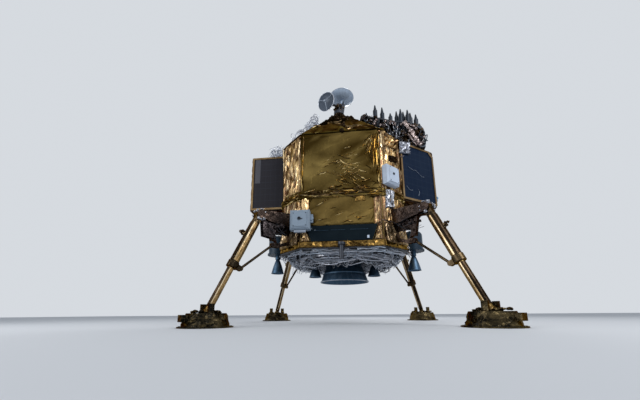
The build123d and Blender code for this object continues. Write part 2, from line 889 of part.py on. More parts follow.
    # Footpad: a drum on a thin flange, with the ball's socket and two posts
    with BuildPart() as footpad:
        with BuildSketch(Plane(origin=(ankle_at.X, ankle_at.Y, 0), z_dir=UP)):
            Circle(pad_radius)
        extrude(amount=pad_flange)
        with BuildSketch(Plane(origin=(ankle_at.X, ankle_at.Y, pad_flange), z_dir=UP)):
            Circle(drum_bottom_radius)
        with BuildSketch(Plane(origin=(ankle_at.X, ankle_at.Y, drum_height), z_dir=UP)):
            Circle(drum_top_radius)
        loft()
        with BuildSketch(Plane(origin=(ankle_at.X, ankle_at.Y, drum_height), z_dir=UP)):
            Circle(socket_ring_radius)
        extrude(amount=socket_ring)
        with BuildSketch(
            Plane(origin=(ankle_at.X, ankle_at.Y, drum_height), x_dir=side, z_dir=UP)
        ):
            with Locations((-post_reach, 0), (post_reach, 0)):
                Rectangle(post_size[1], post_size[0])
        extrude(amount=post_height)
        with BuildSketch(
            Plane(
                origin=(ankle_at.X, ankle_at.Y, pad_box_low), x_dir=outward(angle), z_dir=UP
            )
        ):
            with Locations((pad_box_reach, 0)):
                Rectangle(pad_box[0], pad_box[1])
        extrude(amount=pad_box[2])
        with Locations(ankle_at):
            Sphere(ball_radius + ball_clearance, mode=Mode.SUBTRACT)
    save(footpad, f"footpad_{name}")

# Drag struts from the arms to the collars, in their leg's plane
with BuildPart() as drag_struts:
    for name, angle in CORNERS:
        plane = leg_plane(angle)
        lug_at = in_leg(angle, drag_lug)
        root_at = in_leg(angle, drag_root)
        with BuildSketch(plane):
            with Locations((drag_root.X, drag_root.Y), (drag_lug.X, drag_lug.Y)):
                Circle(drag_eye_radius)
        extrude(amount=drag_eye_half, both=True)
        strut_line = lug_at - root_at
        with BuildSketch(Plane(origin=root_at, x_dir=plane.z_dir, z_dir=strut_line)):
            Circle(drag_radius)
        extrude(amount=strut_line.length)
        with BuildSketch(plane):
            with Locations((drag_root.X, drag_root.Y), (drag_lug.X, drag_lug.Y)):
                Circle(pin_radius / 2 + pin_clearance)
        extrude(amount=arm_half, both=True, mode=Mode.SUBTRACT)
save(drag_struts, "drag_struts")

# Rack of small thrusters on the right of the roof
roof_slope = roof_rise / (wall_reach - roof_top_reach)
roof_cosine = 1 / sqrt(1 + roof_slope**2)


def roof_height_at(reach):
    """Height of the roof's side face at a distance from the middle."""
    return eave_height + (wall_reach - reach) * roof_slope


def rack_floor(reach):
    """Height on which the rack stands: the roof, then the top of the side bay."""
    return max(roof_height_at(reach), eave_height)


# Top line of the rack: distance out, height above what it stands on
RACK_TOP = ((750.0, 184.0), (1200.0, 565.0), (1690.0, 950.0), (2150.0, 900.0), (2520.0, 560.0))

# Thrusters: distance out, share of the rack's width, height, radius
THRUSTERS = (
    (840.0, 0.70, 300.0, 54.0),
    (1110.0, 0.30, 520.0, 68.0),
    (1340.0, 0.64, 580.0, 68.0),
    (1570.0, 0.30, 330.0, 62.0),
    (1780.0, 0.68, 530.0, 64.0),
    (1880.0, 0.26, 500.0, 62.0),
    (1990.0, 0.72, 530.0, 66.0),
    (2090.0, 0.28, 480.0, 64.0),
    (2200.0, 0.70, 530.0, 68.0),
    (2330.0, 0.30, 470.0, 66.0),
    (2450.0, 0.62, 330.0, 70.0),
)


def rack_top(reach):
    """Height of the rack's top line at a distance out."""
    for (near, near_rise), (far, far_rise) in zip(RACK_TOP, RACK_TOP[1:]):
        if reach <= far:
            low = rack_floor(near) + near_rise
            high = rack_floor(far) + far_rise
            return low + (high - low) * (reach - near) / (far - near)
    return rack_floor(RACK_TOP[-1][0]) + RACK_TOP[-1][1]


with BuildPart() as roof_rack:
    with BuildSketch(Plane.XZ.offset(-rack_back)):
        Polygon(
            (rack_start, roof_height_at(rack_start)),
            (wall_reach, eave_height),
            (rack_end, eave_height),
            *[(reach, rack_top(reach)) for reach, rise in RACK_TOP[::-1]],
            align=None,
        )
        for (near, _), (far, _) in zip(RACK_TOP, RACK_TOP[1:]):
            Polygon(
                (near + rack_post, rack_floor(near + rack_post) + rack_foot),
                (far - rack_post, rack_floor(far - rack_post) + rack_foot),
                (far - rack_post, rack_top(far - rack_post) - rack_member),
                (near + rack_post, rack_top(near + rack_post) - rack_member),
                align=None,
                mode=Mode.SUBTRACT,
            )
    extrude(amount=rack_back - rack_front)
    for reach, share, height, radius in THRUSTERS:
        y = rack_front + (rack_back - rack_front) * share
        base = rack_top(reach) - rack_member / 2
        with BuildSketch(Plane(origin=(reach, y, base), z_dir=UP)):
            Circle(radius)
        extrude(amount=height * thruster_body_share)
        with BuildSketch(Plane(origin=(reach, y, base + height * thruster_body_share), z_dir=UP)):
            Circle(radius * thruster_shoulder_share)
        with BuildSketch(Plane(origin=(reach, y, base + height), z_dir=UP)):
            Circle(thruster_neck / 2)
        loft()
save(roof_rack, "roof_rack")

# Wire loops on the left of the roof, on a tray
LOOPS = (
    # distance out, share of the tray's width, radius of the loop
    (860.0, 0.30, 130.0),
    (1060.0, 0.60, 150.0),
    (1280.0, 0.35, 165.0),
    (1500.0, 0.65, 150.0),
    (1850.0, 0.40, 110.0),
    (2060.0, 0.60, 100.0),
)
with BuildPart() as roof_loops:
    with BuildSketch(Plane.XZ.offset(-rack_back)):
        Polygon(
            (-rack_start, roof_height_at(rack_start)),
            (-wall_reach, eave_height),
            (-loops_end, eave_height),
            (-loops_end, eave_height + loops_depth),
            (-wall_reach - loops_step, eave_height + loops_depth),
            (-rack_start, roof_height_at(rack_start) + loops_depth_high),
            align=None,
        )
    extrude(amount=rack_back - rack_front)
    for reach, share, radius in LOOPS:
        y = rack_front + (rack_back - rack_front) * share
        lift = (radius + loop_seat) / (roof_cosine if reach < wall_reach else 1)
        centre = Vector(-reach, y, rack_floor(reach) + lift)
        with BuildSketch(Plane(origin=centre, x_dir=(1, 0, 0), z_dir=UP)):
            with Locations((radius, 0)):
                RegularPolygon(loop_tube, loop_sides)
        revolve(axis=Axis(centre, (0, 1, 0)))
save(roof_loops, "roof_loops")

# Antenna mast on the flat top of the roof, with foil bunched round its foot
mast_top = roof_top_height + mast_height
with BuildPart() as antenna_mast:
    with BuildSketch(Plane.XY.offset(roof_top_height)):
        with Locations((antenna_x, 0)):
            Circle(mast_flange_radius)
    extrude(amount=mast_flange)
    with BuildSketch(Plane.XY.offset(roof_top_height + mast_flange)):
        with Locations((antenna_x, 0)):
            Circle(mast_radius)
    extrude(amount=mast_height - mast_flange)
    with BuildSketch(Plane.XY.offset(roof_top_height)):
        with Locations((antenna_x, 0)):
            Circle(mast_wrap_radius)
    extrude(amount=mast_wrap_height, taper=mast_wrap_taper)
    with BuildSketch(Plane.XY.offset(mast_top)):
        with Locations((antenna_x, 0)):
            Circle(spindle_radius)
    extrude(amount=spindle_height)
save(antenna_mast, "antenna_mast")

# Turntable with the yoke of the main dish and the arm of the second dish
antenna_axis = Vector(antenna_x, 0, 0)
turntable_low = mast_top + turntable_clearance
turntable_middle = turntable_low + turntable_height / 2
main_heading = Vector(1, 0, 0).rotate(Axis.Z, main_dish_heading)
pivot_at = antenna_axis + main_heading * pivot_out + UP * (mast_top + pivot_height)
yoke_plane = Plane(origin=antenna_axis, x_dir=main_heading, z_dir=main_heading.cross(UP))
second_heading = Vector(1, 0, 0).rotate(Axis.Z, second_dish_heading)
second_axis = second_heading * cos(radians(second_dish_lift)) + UP * sin(radians(second_dish_lift))
arm_start = antenna_axis + UP * (mast_top + second_arm_start)
second_root = antenna_axis + UP * mast_top + Vector(*second_arm_end)
hub_start = second_root - second_axis * second_hub_length
with BuildPart() as antenna_turntable:
    with BuildSketch(Plane(origin=antenna_axis + UP * turntable_low, z_dir=UP)):
        Circle(turntable_radius)
    extrude(amount=turntable_height)
    for face in (-1, 1):
        with BuildSketch(yoke_plane.offset(face * (yoke_half - yoke_wall))):
            Polygon(
                (-yoke_back, turntable_middle),
                (yoke_front, turntable_middle),
                (pivot_out + yoke_tip_half, pivot_at.Z - yoke_tip_below),
                (pivot_out + yoke_tip_half, pivot_at.Z + yoke_tip_above),
                (pivot_out - yoke_tip_half, pivot_at.Z + yoke_tip_above),
                align=None,
            )
            with Locations((pivot_out, pivot_at.Z)):
                Circle(pivot_pin_radius + running_clearance, mode=Mode.SUBTRACT)
        extrude(amount=face * yoke_wall)
    with BuildSketch(Plane(origin=antenna_axis + UP * turntable_middle, z_dir=UP)):
        Circle(post_radius)
    extrude(amount=mast_top + second_arm_start + post_radius - turntable_middle)
    with BuildSketch(Plane(origin=arm_start, z_dir=hub_start - arm_start)):
        Circle(second_arm_radius)
    extrude(amount=(hub_start - arm_start).length)
    with BuildSketch(Plane(origin=hub_start, z_dir=second_axis)):
        Circle(second_hub_radius)
    extrude(amount=second_hub_length)
    with BuildSketch(Plane(origin=antenna_axis + UP * turntable_low, z_dir=UP)):
        Circle(spindle_radius + running_clearance)
    extrude(amount=spindle_height + spindle_end_gap, mode=Mode.SUBTRACT)
save(antenna_turntable, "antenna_turntable")


def dish(origin, direction, radius, depth, wall):
    """Half section of a round dish, its back at the origin and open along the direction."""
    level = direction.cross(UP).normalized()
    plane = Plane(origin=origin, x_dir=level, z_dir=level.cross(direction))
    ball = (radius**2 + depth**2) / (2 * depth)
    half_turn = asin(radius / ball) / 2
    middle = (ball * sin(half_turn), ball * (1 - cos(half_turn)))
    with BuildSketch(plane) as section:
        with BuildLine():
            ThreePointArc((0, 0), middle, (radius, depth))
            Line((radius, depth), (radius, depth + wall))
            ThreePointArc(
                (radius, depth + wall), (middle[0], middle[1] + wall), (0, wall)
            )
            Line((0, wall), (0, 0))
        make_face()
    return section.sketch


def feed_rods(origin, direction, radius, depth):
    """Start and end points of the rods that hold a dish's feed over its middle."""
    focus = origin + direction * (radius**2 / (4 * depth))
    level = direction.cross(UP).normalized()
    rods = []
    for turn in feed_turns:
        reach = level.rotate(Axis((0, 0, 0), direction), turn) * (radius - dish_wall)
        rods.append((origin + direction * (depth + dish_wall / 2) + reach, focus))
    return rods


# Main dish on its elevation pin, with its feed
main_axis = main_heading * cos(radians(main_dish_lift)) + UP * sin(radians(main_dish_lift))
main_back = pivot_at + main_axis * main_dish_back
pin_reach = yoke_half - yoke_wall - pin_clearance
with BuildPart() as antenna_dish:
    section = dish(main_back, main_axis, main_dish_radius, main_dish_depth, dish_wall)
    revolve(section, axis=Axis(main_back, main_axis))
    with BuildSketch(Plane(origin=pivot_at, z_dir=main_axis)):
        Circle(dish_stub_radius)
    extrude(amount=main_dish_back + dish_wall / 2)
    with BuildSketch(Plane(origin=pivot_at, x_dir=main_heading, z_dir=yoke_plane.z_dir)):
        Circle(pivot_barrel_radius)
    extrude(amount=pin_reach, both=True)
    with BuildSketch(Plane(origin=pivot_at, x_dir=main_heading, z_dir=yoke_plane.z_dir)):
        Circle(pivot_pin_radius)
    extrude(amount=yoke_half + pivot_pin_end, both=True)
    for start, end in feed_rods(main_back, main_axis, main_dish_radius, main_dish_depth):
        with BuildSketch(Plane(origin=start, z_dir=end - start)):
            Circle(feed_strut_radius)
        extrude(amount=(end - start).length)
    with BuildSketch(Plane(origin=end - main_axis * feed_length / 2, z_dir=main_axis)):
        Circle(feed_radius)
    extrude(amount=feed_length)
save(antenna_dish, "antenna_dish")

# Second dish, fixed to the turntable's arm, with its feed
with BuildPart() as antenna_second_dish:
    section = dish(second_root, second_axis, second_dish_radius, second_dish_depth, dish_wall)
    revolve(section, axis=Axis(second_root, second_axis))
    for start, end in feed_rods(second_root, second_axis, second_dish_radius, second_dish_depth):
        with BuildSketch(Plane(origin=start, z_dir=end - start)):
            Circle(feed_strut_radius)
        extrude(amount=(end - start).length)
    with BuildSketch(Plane(origin=end - second_axis * feed_length / 2, z_dir=second_axis)):
        Circle(feed_radius)
    extrude(amount=feed_length)
    with BuildSketch(Plane(origin=second_root, z_dir=second_axis)):
        Circle(second_hub_radius)
    extrude(amount=dish_wall)
save(antenna_second_dish, "antenna_second_dish")
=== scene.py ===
import json
import math
import random
import bmesh
import bpy
from mathutils import Matrix, Quaternion, Vector, geometry


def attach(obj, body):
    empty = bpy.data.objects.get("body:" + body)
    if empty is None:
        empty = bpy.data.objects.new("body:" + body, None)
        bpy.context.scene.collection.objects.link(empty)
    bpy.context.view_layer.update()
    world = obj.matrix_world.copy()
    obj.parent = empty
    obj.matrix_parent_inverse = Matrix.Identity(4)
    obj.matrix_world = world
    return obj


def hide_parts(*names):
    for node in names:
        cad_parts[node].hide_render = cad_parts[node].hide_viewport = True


# The looks of a four-legged lunar lander: crumpled foil, panels, engines and antenna.
# Metres. X runs to the right, Y away from the front wall, Z up.

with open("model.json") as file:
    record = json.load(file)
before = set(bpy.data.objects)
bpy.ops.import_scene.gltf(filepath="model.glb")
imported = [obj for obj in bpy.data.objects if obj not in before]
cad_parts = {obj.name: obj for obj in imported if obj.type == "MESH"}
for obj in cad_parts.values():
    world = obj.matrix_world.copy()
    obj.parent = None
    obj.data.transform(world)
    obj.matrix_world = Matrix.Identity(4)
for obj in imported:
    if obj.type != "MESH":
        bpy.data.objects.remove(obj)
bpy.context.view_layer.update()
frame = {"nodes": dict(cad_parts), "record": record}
nodes = frame["nodes"]
UP = Vector((0, 0, 1))

# Sizes of the body
WALL_REACH = 1.69
WALL_FLAT = 1.06
BLANKET = 0.03
EDGE_MARGIN = 0.026
SILL = 2.03
DECK = 1.90
BELT = 3.28
ABOVE_BELT = 3.31
EAVE = 5.08
ROOF_TOP = 6.56
ROOF_TOP_REACH = 0.36
LOWER_PANEL_HALF = 0.83
LOWER_PANEL_FOOT = 2.436
RADIATOR_FOOT_HALF = 0.766
RADIATOR_HEAD_HALF = 0.906
BAY_REACH = 2.78
BAY_HALF_OUTER = 0.27
BAY_HALF_INNER = 1.04
LEFT_BAY_HALF = 0.65
CORNER_REACH = (WALL_REACH + WALL_FLAT) / math.sqrt(2)
CORNER_HALF = (WALL_REACH - WALL_FLAT) / math.sqrt(2)

# Sizes of the legs, in the upright plane through a body corner
HINGE = Vector((2.02 * math.sqrt(2), 2.68))
ANKLE = Vector((2.80 * math.sqrt(2), 0.30))
CYLINDER_SHARE = 0.58
CYLINDER_RADIUS = 0.102
PISTON_RADIUS = 0.070
DRUM_FOOT_RADIUS = 0.465
DRUM_HEAD_RADIUS = 0.395
CORNERS = (45, 135, 225, 315)

# Sizes of the roof equipment and the engines
RACK_LINE = ((0.75, 1.23), (1.20, 1.11), (1.69, 0.95), (2.15, 0.90), (2.52, 0.56))
RACK_FRONT = -0.65
RACK_BACK = -0.31
LOOPS_START = -0.75
LOOPS_END = -2.22
POD_X = 2.06
POD_FOOT = 2.05


# Shader groups that several finishes share

def add(tree, kind, sockets=None, **settings):
    """Adds a node; a socket given as its value is linked, anything else is set."""
    node = tree.nodes.new(kind)
    for key, value in settings.items():
        setattr(node, key, value)
    for key, value in (sockets or {}).items():
        if isinstance(value, bpy.types.NodeSocket):
            tree.links.new(value, node.inputs[key])
        else:
            node.inputs[key].default_value = value
    return node


def maths(tree, operation, first, second=0.0):
    return add(tree, "ShaderNodeMath", {0: first, 1: second}, operation=operation).outputs[0]


def vectors(tree, operation, first, second=(0.0, 0.0, 0.0)):
    node = add(tree, "ShaderNodeVectorMath", {0: first, 1: second}, operation=operation)
    return node.outputs["Value" if operation == "DOT_PRODUCT" else "Vector"]


def centred(tree, colour):
    return vectors(tree, "SUBTRACT", colour, (0.5, 0.5, 0.5))


def ramp(tree, value, low, high, out_low=0.0, out_high=1.0):
    """Maps a value from low and high to two others, and stops there."""
    sockets = {"Value": value, "From Min": low, "From Max": high, "To Min": out_low, "To Max": out_high}
    return add(tree, "ShaderNodeMapRange", sockets).outputs["Result"]


def noise(tree, place, rate, detail, **settings):
    sockets = {"Vector": place, "Scale": rate, "Detail": detail}
    return add(tree, "ShaderNodeTexNoise", sockets, **settings)


def cells_of(tree, place, rate, feature="F1"):
    return add(tree, "ShaderNodeTexVoronoi", {"Vector": place, "Scale": rate}, feature=feature)


def shader_group(name, build, numbers):
    """A group that takes a Vector and numbers with usual values; build says what it puts out."""
    tree = bpy.data.node_groups.new(name, "ShaderNodeTree")
    tree.interface.new_socket("Vector", in_out="INPUT", socket_type="NodeSocketVector")
    for label, value in numbers.items():
        socket = tree.interface.new_socket(label, in_out="INPUT", socket_type="NodeSocketFloat")
        socket.default_value = value
    given = tree.nodes.new("NodeGroupInput").outputs
    results = build(tree, given)
    for label in results:
        tree.interface.new_socket(label, in_out="OUTPUT", socket_type="NodeSocketFloat")
    ends = tree.nodes.new("NodeGroupOutput").inputs
    for label, value in results.items():
        tree.links.new(value, ends[label])
    return tree


def crumpled_facets(tree, given):
    """Flat facets of crumpled foil, each tilted its own way, in two sizes; Fold marks the lines between
    facets, which get painted highlight.
    """
    rate = maths(tree, "DIVIDE", 1.0, given["Fold Size"])
    sway = centred(tree, noise(tree, given["Vector"], rate, 2.0).outputs["Color"])
    reach = maths(tree, "MULTIPLY", given["Bend"], given["Fold Size"])
    swayed = add(tree, "ShaderNodeVectorMath", {0: sway, "Scale": reach}, operation="SCALE")
    place = vectors(tree, "ADD", given["Vector"], swayed.outputs["Vector"])
    slopes = []
    for finer, share in ((1.0, 0.6), (2.6, 0.5)):
        cells = cells_of(tree, place, maths(tree, "MULTIPLY", rate, finer))
        away = vectors(tree, "SUBTRACT", place, cells.outputs["Position"])
        slope = vectors(tree, "DOT_PRODUCT", centred(tree, cells.outputs["Color"]), away)
        slopes.append(maths(tree, "MULTIPLY", slope, share))
        if finer == 1.0:
            facet = add(tree, "ShaderNodeSeparateColor", {0: cells.outputs["Color"]}).outputs[0]
    edges = cells_of(tree, place, rate, "DISTANCE_TO_EDGE")
    return {
        "Height": maths(tree, "MULTIPLY", maths(tree, "ADD", *slopes), given["Tilt"]),
        "Facet": facet,
        "Fold": ramp(tree, edges.outputs["Distance"], 0.0, 0.08, 1.0, 0.0),
    }


def long_creases(tree, given):
    """Long sharp creases that gather in patches; Shade masks painted shade in their valleys, Crest painted
    highlight on their ridges.
    """
    ridges = noise(tree, given["Vector"], given["Rate"], 2.5, noise_type="RIDGED_MULTIFRACTAL",
                   normalize=True)
    ridges.inputs["Lacunarity"].default_value = 2.3
    ridges.inputs["Distortion"].default_value = 0.6
    places = noise(tree, given["Vector"], maths(tree, "MULTIPLY", given["Rate"], 0.3), 2.0)
    bare = maths(tree, "SUBTRACT", 0.72, maths(tree, "MULTIPLY", given["Cover"], 0.5))
    gathered = ramp(tree, places.outputs["Fac"], bare, maths(tree, "ADD", bare, 0.14), 0.12, 1.0)
    crest = maths(tree, "MULTIPLY", ramp(tree, ridges.outputs["Fac"], 0.35, 0.95), gathered)
    valley_shade = ramp(tree, ridges.outputs["Fac"], 0.62, 0.30)
    return {
        "Height": maths(tree, "MULTIPLY", crest, given["Rise"]),
        "Shade": maths(tree, "MULTIPLY", valley_shade, gathered),
        "Crest": ramp(tree, crest, 0.35, 0.85),
    }


def dust_and_stains(tree, given):
    """Patches of dust and handling marks, and a fine grain."""
    patches = noise(tree, given["Vector"], given["Patch Rate"], 6.0)
    grain = noise(tree, given["Vector"], maths(tree, "MULTIPLY", given["Patch Rate"], 22.0), 4.0)
    patch = ramp(tree, patches.outputs["Fac"], 0.45, 0.7)
    return {"Mask": maths(tree, "MULTIPLY", patch, given["Amount"]), "Grain": grain.outputs["Fac"]}


def thin_scratches(tree, given):
    """Thin bright scratches that break off."""
    lines = cells_of(tree, given["Vector"], given["Rate"], "DISTANCE_TO_EDGE")
    line = ramp(tree, lines.outputs["Distance"], 0.0, given["Width"], 1.0, 0.0)
    breaks = noise(tree, given["Vector"], given["Rate"], 3.0)
    shown = maths(tree, "LESS_THAN", breaks.outputs["Fac"], given["Cover"])
    return {"Mask": maths(tree, "MULTIPLY", line, shown)}


CRUMPLE = shader_group("crumpled foil", crumpled_facets, {"Fold Size": 0.12, "Tilt": 0.5, "Bend": 0.3})
CREASES = shader_group("foil creases", long_creases, {"Rate": 3.0, "Cover": 0.5, "Rise": 0.01})
STAINS = shader_group("dust and stains", dust_and_stains, {"Patch Rate": 3.0, "Amount": 0.3})
SCRATCHES = shader_group("scratches", thin_scratches, {"Rate": 3.0, "Width": 0.02, "Cover": 0.3})


# Finishes, one for each slot of the part

FOIL_LEVEL = 0.48
FOIL_PATCH_RATE = 1.1
# Painted highlight on crests is this many times the bright colour; painted shade towards the top goes this
# far to the deep colour and sways with the facets
GLINT_COLOUR_GAIN = 1.9
MOST_TOP_SHADE = 0.85
TOP_SHADE_SWAY = 0.3
GRAIN_RELIEF = 0.0006
SCRATCH_COLOUR = (0.55, 0.60, 0.66)
CELL_LINE_COLOUR = (0.10, 0.13, 0.18)
CELL_WIDTH = 0.155
CELL_HEIGHT = 0.201
CELL_GAP_SHARE = 0.05


def blank_finish(name):
    finish = bpy.data.materials.new(name)
    finish.use_nodes = True
    tree = finish.node_tree
    tree.nodes.clear()
    surface = tree.nodes.new("ShaderNodeBsdfPrincipled")
    out = tree.nodes.new("ShaderNodeOutputMaterial")
    tree.links.new(surface.outputs[0], out.inputs[0])
    place = tree.nodes.new("ShaderNodeTexCoord").outputs["Object"]
    return finish, tree, surface, place


def grouped(tree, group, sockets):
    return add(tree, "ShaderNodeGroup", sockets, node_tree=group).outputs


def mapped(tree, place, **sockets):
    sockets = {key.title(): value for key, value in sockets.items()}
    return add(tree, "ShaderNodeMapping", {"Vector": place, **sockets}).outputs[0]


def part_of(tree, vector, letter):
    return add(tree, "ShaderNodeSeparateXYZ", {0: vector}).outputs[letter]


def mixed(tree, factor, first, second):
    node = add(tree, "ShaderNodeMix", data_type="RGBA")
    for socket, value in ((node.inputs[0], factor), (node.inputs[6], first), (node.inputs[7], second)):
        if isinstance(value, bpy.types.NodeSocket):
            tree.links.new(value, socket)
        else:
            socket.default_value = value if isinstance(value, float) else (*value, 1.0)
    return node.outputs[2]


def finish_surface(tree, surface, colour, grain, smooth, rough, relief, relief_depth):
    """Colour, roughness between two values and relief, linked to the shader."""
    bump = add(tree, "ShaderNodeBump", {"Height": relief, "Distance": relief_depth})
    tree.links.new(colour, surface.inputs["Base Color"])
    tree.links.new(ramp(tree, grain, 0.0, 1.0, smooth, rough), surface.inputs["Roughness"])
    tree.links.new(bump.outputs[0], surface.inputs["Normal"])


def foil_finish(name, deep, bright, fold_size, tilt, stretch=(1, 1, 1), smooth=0.22, rough=0.40,
                stain=0.4, valley_shade=0.55, facets=0.5, crease=(3.0, 0.5, 0.010), turn=0.0, run=1.0, top_shade=None,
                glint=0.35, edge=(0.50, 0.38, 0.20), patchy=0.25, line_glint=0.12):
    """Crumpled foil. Pieces carry depth, -1 in valleys to 1 on ridges, and tone, one value a facet.

    Valley says how much depth counts: it paints shade into valleys and highlight onto ridges.
    Facets says how much tone counts: on pleats it paints one flank lit and the other shaded, on
    crumpled sheets it varies at random. Crease gives the rate, cover and rise of long creases, whose
    valleys get painted shade; they are run times as long, turned by turn. Two heights for the shade
    at the top say where the foil darkens to its deep colour, a painted shade towards the top. Glint
    is how bright the painted highlight on crests is, patchy how much the small facets show, and the
    line glint how much painted highlight falls on the lines between the facets.
    """
    finish, tree, surface, place = blank_finish(name)
    folds = grouped(tree, CRUMPLE, {"Vector": mapped(tree, place, scale=stretch), "Fold Size": fold_size,
                                    "Tilt": tilt})
    laid = mapped(tree, mapped(tree, place, rotation=(0.0, turn, 0.0)), scale=(1 / run, 1 / run, 1.0))
    creases = grouped(tree, CREASES, dict(zip(("Vector", "Rate", "Cover", "Rise"), (laid, *crease))))
    marks = grouped(tree, STAINS, {"Vector": place, "Patch Rate": FOIL_PATCH_RATE, "Amount": stain})
    depth, tone = (add(tree, "ShaderNodeAttribute", attribute_name=kind).outputs["Fac"]
                   for kind in ("depth", "tone"))
    facet = maths(tree, "SUBTRACT", folds["Facet"], 0.5)
    # Painted shade in valleys and painted highlight on ridges from depth; on pleats tone adds painted lit
    # and shaded flanks
    level = maths(tree, "ADD", maths(tree, "MULTIPLY", depth, valley_shade), FOIL_LEVEL)
    level = maths(tree, "ADD", level, maths(tree, "MULTIPLY", tone, facets))
    level = maths(tree, "ADD", level, maths(tree, "MULTIPLY", facet, patchy))
    # Painted shade in the valleys of the long creases
    level = maths(tree, "SUBTRACT", level, maths(tree, "MULTIPLY", creases["Shade"], 0.5))
    colour = mixed(tree, ramp(tree, level, 0.0, 1.0), deep, bright)
    # Painted highlight on crests and on the lines between facets
    glint_mask = maths(tree, "ADD", maths(tree, "MULTIPLY", creases["Crest"], glint),
                    maths(tree, "MULTIPLY", folds["Fold"], line_glint))
    colour = mixed(tree, glint_mask, colour, [min(1.0, part * GLINT_COLOUR_GAIN) for part in bright])
    colour = mixed(tree, marks["Mask"], colour, deep)
    # Painted shade: the foil darkens towards the top
    if top_shade:
        height = maths(tree, "ADD", part_of(tree, place, "Z"), maths(tree, "MULTIPLY", facet, TOP_SHADE_SWAY))
        colour = mixed(tree, ramp(tree, height, *top_shade, 0.0, MOST_TOP_SHADE), colour, deep)
    surface.inputs["Metallic"].default_value = 1.0
    surface.inputs["Specular Tint"].default_value = (*edge, 1.0)
    relief = maths(tree, "ADD", folds["Height"], creases["Height"])
    finish_surface(tree, surface, colour, marks["Grain"], smooth, rough, relief, 1.0)
    return finish


def solid_finish(name, colour, worn, metallic, smooth, rough, amount=0.3, stretch=(1, 1, 1),
                 scratched=0.0, shine=0.5, cells=0.0, left=None):
    """Paint, metal or glass with worn patches; left is another colour for the lander's left side."""
    finish, tree, surface, place = blank_finish(name)
    marks = grouped(tree, STAINS, {"Vector": mapped(tree, place, scale=stretch), "Amount": amount})
    colour = mixed(tree, marks["Mask"], colour, worn)
    if left:
        colour = mixed(tree, maths(tree, "LESS_THAN", part_of(tree, place, "X"), 0.0), colour, left)
    if scratched:
        lines = grouped(tree, SCRATCHES, {"Vector": place, "Rate": 2.6, "Width": 0.012, "Cover": scratched})
        colour = mixed(tree, lines["Mask"], colour, SCRATCH_COLOUR)
    if cells:
        across = maths(tree, "ABSOLUTE", part_of(tree, place, "X"))
        for run, step in ((across, CELL_WIDTH), (part_of(tree, place, "Z"), CELL_HEIGHT)):
            share = maths(tree, "FRACT", maths(tree, "DIVIDE", run, step))
            line = maths(tree, "LESS_THAN", share, CELL_GAP_SHARE)
            colour = mixed(tree, maths(tree, "MULTIPLY", line, cells), colour, CELL_LINE_COLOUR)
    surface.inputs["Specular IOR Level"].default_value = shine
    surface.inputs["Metallic"].default_value = metallic
    finish_surface(tree, surface, colour, marks["Grain"], smooth, rough, marks["Grain"], GRAIN_RELIEF)
    return finish


# Settings that foils share: broad calm walls, and folds that are shapes of their own
CALM_WALL = {
    "stretch": (1, 1, 0.8), "stain": 0.48, "valley_shade": 0.18, "facets": 0.03, "crease": (2.3, 0.52, 0.040),
    "turn": 0.35, "run": 3.4, "smooth": 0.32, "rough": 0.44, "glint": 0.30, "patchy": 0.05, "line_glint": 0.0,
}
OWN_FOLDS = {
    "valley_shade": 0.10, "crease": (3.0, 0.2, 0.004), "stain": 0.15, "smooth": 0.25, "patchy": 0.08, "line_glint": 0.0,
}
STRUT_WRAP = {"valley_shade": 0.25, "facets": 0.25}
DEEP_GOLD = (0.045, 0.027, 0.006)

# The gold foil here and the roof foil below darken towards the top between two heights: painted shade
FINISHES = {
    "gold_foil": foil_finish("gold foil", DEEP_GOLD, (0.535, 0.378, 0.122), 0.26, 0.06, top_shade=(4.35, 6.60),
                             **CALM_WALL),
    "dark_foil": foil_finish("dark foil", (0.018, 0.013, 0.012), (0.115, 0.082, 0.062), 0.08, 0.4),
    "amber_foil": foil_finish("amber foil", (0.11, 0.060, 0.018), (0.66, 0.46, 0.20), 0.06, 0.22,
                              stretch=(1, 1, 0.45)),
    "pad_foil": foil_finish("pad foil", (0.010, 0.009, 0.007), (0.17, 0.125, 0.058), 0.08, 0.4, valley_shade=0.7),
    "radiator_black": solid_finish("radiator black", (0.004, 0.009, 0.013), (0.012, 0.02, 0.026), 0.0, 0.40,
                                   0.6, scratched=0.30, shine=0.06),
    "deck_metal": solid_finish("deck metal", (0.055, 0.060, 0.072), (0.03, 0.03, 0.035), 0.9, 0.3, 0.55),
    "pipe_steel": solid_finish("pipe steel", (0.62, 0.65, 0.72), (0.20, 0.17, 0.17), 0.95, 0.2, 0.45,
                               amount=0.6),
    "solar_blue": solid_finish("solar cells", (0.0025, 0.011, 0.032), (0.009, 0.020, 0.042), 0.0, 0.25, 0.45,
                               shine=0.07, cells=0.09, left=(0.026, 0.025, 0.030)),
    "panel_trim": solid_finish("panel trim", (0.20, 0.125, 0.055), (0.50, 0.38, 0.20), 0.8, 0.3, 0.5),
    "nozzle_metal": solid_finish("nozzle metal", (0.046, 0.090, 0.145), (0.17, 0.23, 0.30), 0.85, 0.30, 0.5,
                                 stretch=(4, 4, 0.4)),
    "tank_blue": solid_finish("tank blue", (0.006, 0.024, 0.046), (0.02, 0.04, 0.05), 0.1, 0.3, 0.5,
                              shine=0.3),
    "white_paint": solid_finish("white paint", (0.50, 0.58, 0.70), (0.30, 0.33, 0.38), 0.0, 0.4, 0.6,
                                left=(0.21, 0.27, 0.34)),
    "thruster_dark": solid_finish("thruster dark", (0.02, 0.026, 0.036), (0.10, 0.08, 0.065), 0.7, 0.3, 0.5),
    "dish_grey": solid_finish("dish grey", (0.30, 0.35, 0.42), (0.16, 0.17, 0.20), 0.3, 0.3, 0.5),
}

